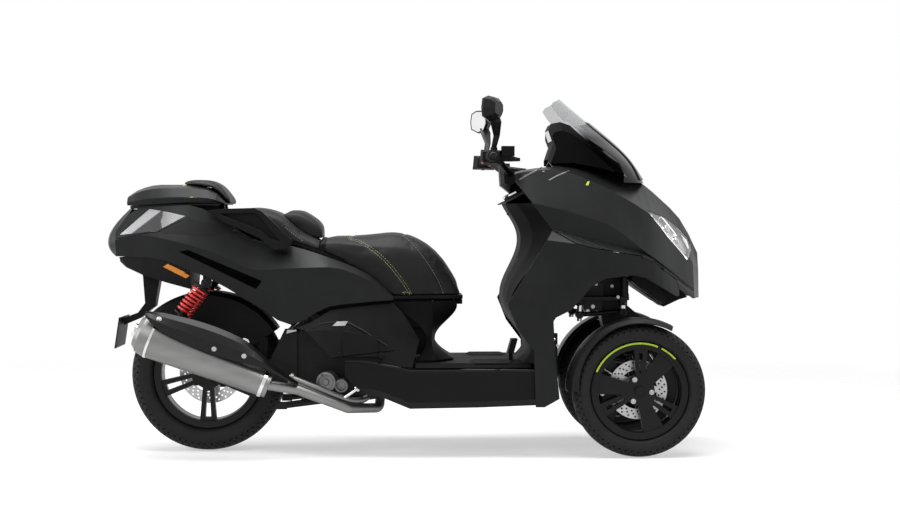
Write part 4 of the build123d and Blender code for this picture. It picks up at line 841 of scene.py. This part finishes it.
def seat():
    """Rider's and passenger's cushions, lumbar bolster and back pad with seams and stitching."""
    rider = pad("rider_seat", "rider_cushion", 0, 0.0045, ((0, 0, -1), (-1, 0, -0.3)))
    foam = skin_of(rider)
    seams = [laid(foam, flowing(line, 60)) for line in (SEAT_SEAM, SEAT_FRONT_SEAM)]
    seams = [[spot for spot in seam if abs(spot[0].y) > 0.02] for seam in seams]
    over = []
    for seam in seams:
        top = seam[0][0]
        across = []
        for k in range(25):
            bow = 0.006 * cos(pi * (k - 12) / 24)
            above = Vector((top.x + bow, top.y * (1 - 2 * k / 24), 1.0))
            place, normal = foam.ray_cast(above, Vector((0, 0, -1)))[:2]
            if place:
                across.append((place, normal))
        over.append(across)
    far = [far_side(seam) for seam in seams]
    sewn(rider, seams + far + over, 0.0028, 0.006)
    finished_pad(rider, "seat", SEAT_COVER)
    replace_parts(rider, "rider_cushion")
    cover = skin_of(rider)
    lime, pale = Shape(), Shape()
    for seam in (seams[0], far[0], over[0]):
        for offset in (-0.0042, 0.0042):
            stitches(lime, settled(cover, seam), offset)
    for seam in (seams[1], far[1], over[1]):
        stitches(pale, settled(cover, seam), 0.0035)
    lime.piece("lime_stitching", THREAD, 60, "seat")
    passenger = pad("passenger_seat", "passenger_cushion", 0, 0.005, ((0, 0, -1), (-1, 0, -0.3)))
    finished_pad(passenger, "seat", SEAT_COVER)
    bolster = pad("lumbar_bolster", "passenger_cushion", 1, 0.006, ((0, 0, -1),))
    finished_pad(bolster, "seat", SEAT_COVER)
    line = laid(skin_of(bolster), flowing(LUMBAR_SEAM, 30))
    stitches(pale, line, 0.0)
    stitches(pale, far_side(line), 0.0)
    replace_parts(passenger, "passenger_cushion")
    pale.piece("grey_stitching", PALE_THREAD, 60, "seat")
    back = pad("back_pad", "backrest_pad", 0, 0.005, ((0, 0, -1), (-1, 0, -0.4)))
    finished_pad(back, "luggage_lid", SEAT_COVER)
    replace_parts(back, "backrest_pad")


# Lamps

LAMP_LOWER_EDGE = [(648.5, 213.5), (658, 225.5), (668, 237), (678, 248.5), (687, 259)]
LAMP_UNITS = [(666, 229, 0.013), (675.5, 240.5, 0.012)]


def headlamps():
    """Light guide along the lower edge of each lens and two lamp units in each bowl."""
    bead("light_guides", skin("headlamp_lenses"), LAMP_LOWER_EDGE, 40, 0.0085, 0.0012, BLADE, 40)
    rims, eyes = Shape(), Shape()
    bowl = skin("headlamp_bowls")
    for x, y, r in LAMP_UNITS:
        place, normal = laid(bowl, [(x, y)])[0]
        facing = (normal + Vector((0.6, -0.5, 0.0))).normalized()
        rims.turned(place, facing, [
            (-0.004, r * 1.2), (0.004, r * 1.2), (0.009, r * 1.08), (0.010, r * 0.96), (0.005, r * 0.9),
            (0.003, r * 0.3)], 28)
        eyes.turned(place + facing * 0.003, facing, [
            (0.0, r * 0.88), (0.003, r * 0.84), (0.006, r * 0.66), (0.0078, r * 0.38), (0.0084, r * 0.1)], 28)
    rims.mirrored().piece("lamp_unit_rims", CHROME, 30)
    eyes.mirrored().piece("lamp_unit_eyes", EYE, 40)


# Trim on the tail

REFLECTOR_CORNERS = [(163.2, 266.6), (168, 263.6), (190.8, 274.6), (186.2, 278)]
SLOT_CORNERS = [(179, 251.6), (188, 250), (262, 281), (256, 289)]
LOWER_FACET = [(161, 232.6), (190, 218.8), (240, 231.5), (205, 236)]
LID_TICK = [(176, 182.9), (181, 182), (191, 184.2), (183, 185.3)]
COWL_TICK = [(585.6, 185.2), (587.4, 181.6), (589.6, 181.4), (588.2, 185.4)]
LID_RIM = [
    (-0.262, 0.082, 0.861), (-0.231, 0.100, 0.8625), (-0.161, 0.126, 0.8655), (-0.091, 0.142, 0.8685),
    (0.0, 0.148, 0.8695), (0.05, 0.149, 0.868)]
LAMP_SURROUND = [(117, 238.5), (133, 234.8), (150, 232.2), (159, 231), (174, 223.5), (188, 217.3)]


def tail_trim():
    """Reflectors, slots and a lower facet darkened as painted shade, lamp surrounds and the lid's tick and seal."""
    tail = skin("tail_panels", "undertail")
    plate("side_reflectors", "chassis", tail, REFLECTOR_CORNERS, 0.0022, (8, 4), ORANGE)
    # Painted shade: thin near-black plates where the slots are.
    plate("tail_slots", "chassis", tail, SLOT_CORNERS, 0.0008, (24, 6), GROOVE_SHADE)
    # Painted shade: a darker paint plate over the lower tail facet.
    plate("tail_facet_shade", "chassis", tail, LOWER_FACET, 0.0008, (20, 8), PAINTED_SHADE_GREY)
    bead("lamp_surrounds", skin("tail_panels", "tail_lamps"), LAMP_SURROUND, 50, 0.005, 0.0022, GLOSS_BLACK, 40)
    plate("lid_ticks", "luggage_lid", skin("luggage_lid"), LID_TICK, 0.0008, (10, 4), LIME)
    seal = Shape()
    seal.swept(flowing([(RX + d, -w, z) for d, w, z in LID_RIM], 40), 0.0058)
    seal.mirrored().piece("lid_seal", GRIP, 60)


# Edges and beads that catch the light along the panels, with a painted highlight on the cockpit edges and painted shade
# in fine lines

SILL_BEAD = [(344, 361), (356, 360.8), (371, 362.5), (395, 367), (440, 369), (500, 370), (545, 371)]
FOOTREST_BEAD = [(312, 327.5), (321, 324), (332, 322.6), (347, 322.8), (359, 328.5), (372, 336.5), (387, 346)]
SIDE_LINE = [(332, 358.5), (345, 356.4), (368, 353.6), (395, 350.6)]
COWL_LOWER_BEAD = [(556, 231), (575, 236.5), (600, 247), (625, 253), (646, 258), (663, 268.5), (679, 280)]
COCKPIT_BEAD = [(519, 180), (532, 172.8), (545, 165.8)]
COWL_UPPER_BEAD = [(549, 180.5), (558, 175.6), (569, 170.8)]
FOOTREST_TAB = [(332.5, 326.2), (337, 321.8), (348, 321.4), (345, 326)]


def beads():
    """Raised beads and fine grooves of painted shade along the panel edges, with a painted highlight on the cockpit
    edges.
    """
    side = skin("side_panels", "sills", "footrest_right")
    front = skin("front_cowl", "leg_shields")
    bead("sill_beads", side, SILL_BEAD, 80, 0.009, 0.0026, SATIN_BLACK)
    bead("side_panel_beads", skin("side_panels"), FOOTREST_BEAD, 60, 0.008, 0.0028, SATIN_BLACK)
    # Painted shade: thin near-black lines along the side panels.
    bead("side_panel_lines", side, SIDE_LINE, 40, 0.0035, 0.0004, GROOVE_SHADE)
    bead("fairing_beads", front, COWL_LOWER_BEAD, 80, lambda t: 0.008 + 0.007 * t, 0.0024, PAINT)
    edges = Shape()
    edges.strip(laid(front, flowing(COCKPIT_BEAD, 30)), 0.007, 0.003)
    edges.strip(laid(front, flowing(COWL_UPPER_BEAD, 24)), 0.006, 0.0024)
    # Painted highlight: pale paint on the cockpit edge beads.
    edges.mirrored().piece("cockpit_edge_highlights", PAINTED_HIGHLIGHT_GREY, 50)
    plate("cowl_ticks", "chassis", skin("front_cowl"), COWL_TICK, 0.0008, (4, 4), LIME)
    plate("side_tabs", "chassis", skin("footrest_right", "side_panels"), FOOTREST_TAB, 0.003, (6, 4), STEEL)


# Exhaust

SHIELD_SCREWS = [(159, 319), (214, 349), (244, 356)]
SHIELD_EAR = (247, 338.5)
MUFFLER_NOSE = Vector((RX + 0.232, -0.285, 0.254))
MUFFLER_TAIL = Vector((RX - 0.200, -0.285, 0.437))
SECOND_HEADER = [
    (-0.400, -0.205, 0.276), (-0.378, -0.205, 0.267), (-0.300, -0.205, 0.236), (-0.225, -0.200, 0.206),
    (-0.180, -0.186, 0.192), (-0.140, -0.160, 0.196), (-0.112, -0.120, 0.222)]


def exhaust_details():
    """Seam ring, outlet, shield screws, second header and flange."""
    nose, tail = MUFFLER_NOSE, MUFFLER_TAIL
    axis = (tail - nose).normalized()
    rings = Shape()
    rings.turned(tail - axis * 0.046, axis, [
        (-0.004, 0.0705), (-0.003, 0.0738), (0.003, 0.0738), (0.005, 0.0735), (0.006, 0.0705)], 64, False)
    rings.turned(nose + axis * 0.018, axis, [
        (-0.006, 0.040), (-0.005, 0.0475), (0.007, 0.0487), (0.008, 0.042)], 48, False)
    rings.turned(tail + axis * 0.008, axis, [
        (-0.004, 0.024), (0.014, 0.024), (0.0155, 0.0225), (0.014, 0.021), (-0.003, 0.021)], 32, False)
    rings.piece("muffler_rings", CHROME, 40)
    outlet = [(0.0, 0.0212), (0.0016, 0.0212), (0.002, 0.018), (-0.004, 0.010)]
    # Painted shade: the outlet's inside is near-black.
    Shape().turned(tail + axis * 0.0085, axis, outlet, 32).piece("muffler_outlet", GROOVE_SHADE, 40)
    shield = skin("heat_shield")
    screws = Shape()
    for place, normal in laid(shield, SHIELD_SCREWS):
        screws.bolt(place, normal, 0.0058, 0.005)
    place, normal = laid(shield, [SHIELD_EAR])[0]
    screws.turned(place, normal, [(-0.001, 0.013), (0.004, 0.013), (0.006, 0.011), (0.006, 0.0055), (0.003, 0.005)], 24)
    screws.piece("shield_screws", STEEL, 30)
    header = Shape()
    header.swept(flowing(SECOND_HEADER, 48), 0.0125, 18)
    header.turned((-0.392, -0.205, 0.273), (-0.92, 0, 0.38), [
        (-0.006, 0.014), (-0.005, 0.019), (0.005, 0.019), (0.006, 0.014)], 28, False)
    header.piece("second_header", MUFFLER, 50)


# Steering controls

RED_DOTS = [(482.6, 162.6, 0.0042), (482.8, 169.6, 0.0055)]
GRIP_SPAN = 0.113
GRIP_RIBS = 17


def bar_details():
    """Ribbed grips, bar ends and switch buttons."""
    low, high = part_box("grips")
    centre = (Vector(low) + Vector(high)) / 2
    outer, radius = -low[1], (high[2] - low[2]) / 2
    grip = Shape()
    span = GRIP_SPAN
    profile = [(-0.001, 0.0125), (0.0, radius + 0.004), (0.004, radius + 0.005), (0.007, radius + 0.001)]
    for k in range(GRIP_RIBS):
        start = 0.010 + k * (span - 0.022) / GRIP_RIBS
        for along, lower in ((0.0, 0.0018), (0.0012, 0.0), (0.0036, 0.0), (0.0048, 0.0018)):
            profile.append((start + along, radius - lower))
    for along, higher in ((0.010, -0.001), (0.008, 0.002), (0.001, 0.0015), (0.0, -0.003)):
        profile.append((span - along, radius + higher))
    grip.turned((centre.x, -outer + span, centre.z), (0, -1, 0), profile, 28)
    grip = grip.mirrored().piece("ribbed_grips", GRIP, 40, "steering")
    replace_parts(grip, "grips")
    ends = Shape().turned((centre.x, -outer, centre.z), (0, -1, 0), [
        (-0.001, 0.0125), (0.001, 0.0135), (0.004, 0.0135), (0.009, 0.0105), (0.0105, 0.007), (0.009, 0.003)], 24)
    ends.mirrored().piece("bar_ends", SATIN_BLACK, 40, "steering")
    panel = skin("controls")
    dots = Shape()
    for x, y, r in RED_DOTS:
        place, normal = laid(panel, [(x, y)])[0]
        dots.turned(place, normal, [(-0.001, r), (0.0018, r), (0.0026, r * 0.85), (0.0028, r * 0.2)], 18)
    dots.mirrored().piece("switch_buttons", RED, 40, "steering")


# Floor

def floor_mats():
    """Ribbed rubber mats on the footboard."""
    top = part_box("floor_board")[1][2]
    ribs = Shape()
    for side in (-1, 1):
        for k in range(9):
            y = side * (0.098 + 0.0165 * k)
            x0, x1 = 0.225 + 0.004 * abs(k - 4), 0.372 - 0.004 * abs(k - 4)
            points = [Vector((x0 + (x1 - x0) * i / 8, y, top)) for i in range(9)]
            ribs.strip([(p, Vector((0, 0, 1))) for p in points], 0.0085, 0.0034)
    ribs.piece("floor_mats", GRIP, 50)


# Front suspension and steering stem

def stem_boot():
    """Pleated boot and bright band between the shelf and the bar's cover, turned round the steering axis."""
    axis = Vector(JOINTS["steering_turn"]["axis"]).normalized()
    if axis.z < 0:
        axis = -axis
    pivot = Vector(JOINTS["steering_turn"]["pos_m"])
    foot = pivot + axis * ((0.893 - pivot.z) / axis.z)
    profile = [(-0.040, 0.050), (-0.036, 0.062)]
    for k in range(5):
        wide = 0.063 - 0.003 * k
        profile += [(-0.030 + k * 0.0105, wide), (-0.0245 + k * 0.0105, wide - 0.0035)]
    profile += [(0.024, 0.048), (0.031, 0.046), (0.0325, 0.030)]
    Shape().turned(foot, axis, profile, 36).piece("stem_boot", GRIP, 40)
    Shape().turned(foot + axis * 0.027, axis, [
        (-0.0035, 0.0465), (-0.0028, 0.0505), (0.0028, 0.0505), (0.0035, 0.0465)], 48, False).piece(
        "stem_band", CHROME, 40)


LINER_SCREWS = [(559, 339), (569, 346)]
TOWER_SCREWS = [(586, 288), (596, 284), (612, 286), (618, 297)]
CALIPER_SCREWS = [(609, 375), (600, 397), (604, 408), (615, 415)]


def front_hardware():
    """Screws on the liner, the tower and the calipers."""
    bits = Shape()
    for place, normal in laid(skin("wheel_liner", "leg_shields"), LINER_SCREWS):
        bits.bolt(place, normal, 0.0036, 0.003)
    for place, normal in laid(skin("main_frame"), TOWER_SCREWS):
        bits.bolt(place, normal, 0.004, 0.005)
    bits.mirrored().piece("front_screws", STEEL, 30)
    for side, sign in (("right", 1), ("left", -1)):
        screws = Shape()
        for place, normal in laid(skin("knuckle_right"), CALIPER_SCREWS):
            place = Vector((place.x, sign * place.y, place.z))
            screws.bolt(place, Vector((normal.x, sign * normal.y, normal.z)), 0.0052, 0.0045)
        screws.piece(f"caliper_screws_{side}", STEEL, 30, f"knuckle_{side}")


def tilt_gear():
    """Damper bodies above the platform, the tilt lock's calliper below it and the bar that joins the damper rods."""
    dark, bright = Shape(), Shape()
    dark.turned((FX - 0.034, -0.128, 0.546), (0, 0, 1), [
        (0.0, 0.012), (0.002, 0.0165), (0.012, 0.0165), (0.013, 0.0145), (0.058, 0.0145), (0.060, 0.0165),
        (0.070, 0.0165), (0.074, 0.012)], 28)
    outline = [(-0.172, 0.538), (-0.176, 0.505), (-0.160, 0.480), (-0.128, 0.476), (-0.112, 0.494), (-0.108, 0.538)]
    dark.loft([[Vector((FX + d, y, z if edge == 0 else z + (0.508 - z) * 0.12)) for d, z in outline]
               for y, edge in ((-0.056, 1), (-0.060, 0), (-0.100, 0), (-0.106, 1))])
    dark.swept([(FX - 0.196, -0.108, 0.484), (FX - 0.120, -0.110, 0.488), (FX - 0.036, -0.108, 0.494)], 0.0085, 16)
    for d in (-0.192, -0.040):
        dark.turned((FX + d, -0.098, 0.484 if d < -0.1 else 0.494), (0, -1, 0), [
            (0.0, 0.010), (0.002, 0.0135), (0.040, 0.0135), (0.042, 0.011)], 20)
        dark.turned((FX + d, -0.128, 0.5355), (0, 0, -1), [
            (0.0, 0.016), (0.010, 0.016), (0.014, 0.0125), (0.018, 0.0125)], 20)
    for d, z in ((-0.142, 0.512), (-0.128, 0.490), (-0.160, 0.496)):
        bright.bolt((FX + d, -0.1055, z), (0, -1, 0), 0.0048, 0.006)
    dark.mirrored().piece("tilt_gear", FRAME_PAINT, 30)
    bright.mirrored().piece("tilt_screws", STEEL, 30)


# Outline of a shield across its rim, as (radius, distance inward from the wheel's middle)
SHIELD_SECTION = [
    (0.050, 0.031), (0.120, 0.031), (0.132, 0.027), (0.138, 0.027), (0.138, 0.030), (0.133, 0.030), (0.121, 0.034),
    (0.050, 0.034)]


def dust_shields():
    """Black shields behind the front discs, in two parts beside the kingpin."""
    for side, sign in (("right", 1), ("left", -1)):
        axle = FRONT_AXLE["right"]
        guard = Shape()
        for start, end in ((-52, 52), (128, 232)):
            rings = []
            for k in range(25):
                turn = radians(start + (end - start) * k / 24)
                ring = []
                for r, y in SHIELD_SECTION:
                    ring.append(Vector((axle.x, sign * (axle.y + y), axle.z)) + spoke(turn) * r)
                rings.append(ring)
            guard.loft(rings)
        guard.piece(f"dust_shield_{side}", FRAME_PAINT, 30, f"knuckle_{side}")


WEB_OUTLINE = [(0.012, 0.345), (0.086, 0.345), (0.082, 0.40), (0.092, 0.437), (0.012, 0.437), (0.0, 0.39)]


def fillers():
    """Sealing strip between the two cushions, and inner webs behind the seat pillar."""
    line = [(-0.282, y, 0.722 + 0.02 * (1 - (y / 0.15) ** 2)) for y in (-0.158, -0.1, 0.0, 0.1, 0.158)]
    Shape().swept(flowing(line, 30), 0.015, 18).piece("cushion_seal", GRIP, 60, "seat")
    web = Shape()
    for y in (-0.112, 0.108):
        rings = []
        for inset in (0.0, 0.004):
            rings.append([Vector((x, y + inset, z)) for x, z in WEB_OUTLINE])
        web.loft(rings)
    web.piece("pillar_webs", PLASTIC, 30)


# Engine side

BRACKET = [(286.5, 333.5), (287.5, 328.5), (297.5, 326), (300, 330)]


ENGINE_COVER = Vector((-0.272, -0.198, 0.258))


def engine_details():
    """Alloy casting with its round cover, the link beside it and a bright bracket."""
    face = ENGINE_COVER
    cover = Shape()
    cover.turned(face, (-0.2, -1, 0), [
        (-0.060, 0.034), (-0.004, 0.036), (0.004, 0.034), (0.006, 0.026), (0.003, 0.024), (0.003, 0.012),
        (0.008, 0.010), (0.009, 0.004)], 36)
    for k in range(6):
        turn = pi * k / 3
        place = face + Vector((0.030 * cos(turn), -0.0035, 0.030 * sin(turn)))
        cover.bolt(place, (-0.2, -1, 0), 0.0032, 0.004)
    cover.turned(face + Vector((0.052, 0.0, -0.014)), (0, -1, 0), [
        (-0.050, 0.024), (0.0, 0.024), (0.003, 0.022), (0.003, 0.017), (-0.012, 0.015)], 30)
    cover.piece("engine_cover", ALLOY, 30)
    link = Shape()
    link.swept([(-0.208, -0.214, 0.206), (-0.190, -0.214, 0.218), (-0.164, -0.212, 0.236)], 0.0058, 14)
    link.turned((-0.164, -0.206, 0.236), (0, -1, 0), [
        (-0.006, 0.010), (0.010, 0.010), (0.012, 0.008), (0.012, 0.004), (0.006, 0.003)], 20)
    link.piece("side_link", CHROME, 40)
    Shape().patch(skin("power_unit", "main_frame"), BRACKET, 0.006, (6, 4), 0.002).piece(
        "engine_bracket", STEEL, 30)


# Floor, light and camera

FLOOR_SIZE = 30
FLOOR_FADE = (1.6, 4.2)
WORLD_LIGHT = 0.2
# Name, place, aim, size and power of each lamp
LAMPS = [
    ("top_light", (-0.2, -0.5, 4.0), (0, 0, 0.6), (5.0, 2.2), 270),
    ("front_light", (4.6, -0.6, 1.9), (0.4, 0, 0.7), (1.8, 2.2), 36),
    ("rear_light", (-4.8, 0.2, 1.7), (-0.4, 0, 0.8), (1.8, 2.2), 80),
    ("side_light", (-3.4, -3.8, 3.2), (-0.6, -0.2, 0.8), (2.6, 1.6), 80)]


def floor():
    """Pale floor that fades into the white backdrop."""
    bpy.ops.mesh.primitive_plane_add(size=FLOOR_SIZE, location=(0, 0, CAD_BOX[0][2]))
    plane = bpy.context.object
    plane.name = "floor"
    made = material("pale_floor", grey(0.5), 0.9, Emission_Color=(1, 1, 1, 1), Emission_Strength=0.5)
    shader = made.node_tree.nodes["Principled BSDF"]
    output = made.node_tree.nodes["Material Output"]
    coords = add(made, "ShaderNodeTexCoord")
    distance = add(made, "ShaderNodeVectorMath", operation="LENGTH")
    join(made, coords.outputs["Object"], distance.inputs[0])
    fade = spread(made, distance.outputs["Value"], start=FLOOR_FADE[0], end=FLOOR_FADE[1])
    clear = add(made, "ShaderNodeBsdfTransparent")
    mix = add(made, "ShaderNodeMixShader")
    join(made, fade, mix.inputs["Fac"])
    join(made, shader.outputs["BSDF"], mix.inputs[1])
    join(made, clear.outputs["BSDF"], mix.inputs[2])
    join(made, mix.outputs["Shader"], output.inputs["Surface"])
    plane.data.materials.append(made)


def backdrop(light):
    """World that lights evenly and shows white to the camera, glass and metal."""
    world = bpy.data.worlds.new("studio")
    bpy.context.scene.world = world
    world.use_nodes = True
    shade = world.node_tree.nodes["Background"]
    shade.inputs["Color"].default_value = (1, 1, 1, 1)
    path = add(world, "ShaderNodeLightPath")
    seen = path.outputs["Is Camera Ray"]
    for kind in ("Is Glossy Ray", "Is Transmission Ray"):
        either = add(world, "ShaderNodeMath", operation="MAXIMUM")
        join(world, seen, either.inputs[0])
        join(world, path.outputs[kind], either.inputs[1])
        seen = either.outputs["Value"]
    join(world, spread(world, seen, light, 1.0), shade.inputs["Strength"])


def softbox(name, place, aim, size, energy):
    """Rectangular lamp that points at a spot."""
    lamp = bpy.data.lights.new(name, "AREA")
    lamp.shape = "RECTANGLE"
    lamp.size, lamp.size_y = size
    lamp.energy = energy
    holder = placed(name, lamp)
    holder.location = place
    holder.rotation_euler = (Vector(aim) - Vector(place)).to_track_quat("-Z", "Y").to_euler()


def camera():
    """Camera at the photograph's place, level with the saddle and square to the right-hand side."""
    lens = bpy.data.cameras.new("camera")
    lens.sensor_width = SENSOR_MM
    lens.lens = LENS_MM
    holder = placed("camera", lens)
    holder.location = CAMERA_AT
    holder.rotation_euler = CAMERA_TURN
    bpy.context.scene.camera = holder


for side in ("right", "left"):
    tyre(f"front_tyre_{side}", f"front_rim_{side}", 0.078, f"front_wheel_{side}", 30)
    drilled_disc(f"front_disc_{side}", f"front_wheel_{side}", HOLE_ROWS, 24)
    rim_stripe(side)
    wheel_hardware(side)
tyre("rear_tyre", "rear_rim", 0.098, "rear_wheel", 34)
drilled_disc("rear_disc", "rear_wheel", HOLE_ROWS, 26)
seat()
headlamps()
tail_trim()
beads()
exhaust_details()
bar_details()
floor_mats()
stem_boot()
front_hardware()
tilt_gear()
engine_details()
dust_shields()
fillers()

bpy.context.scene.view_settings.view_transform = "Standard"
floor()
backdrop(WORLD_LIGHT)
for lamp in LAMPS:
    softbox(*lamp)
camera()
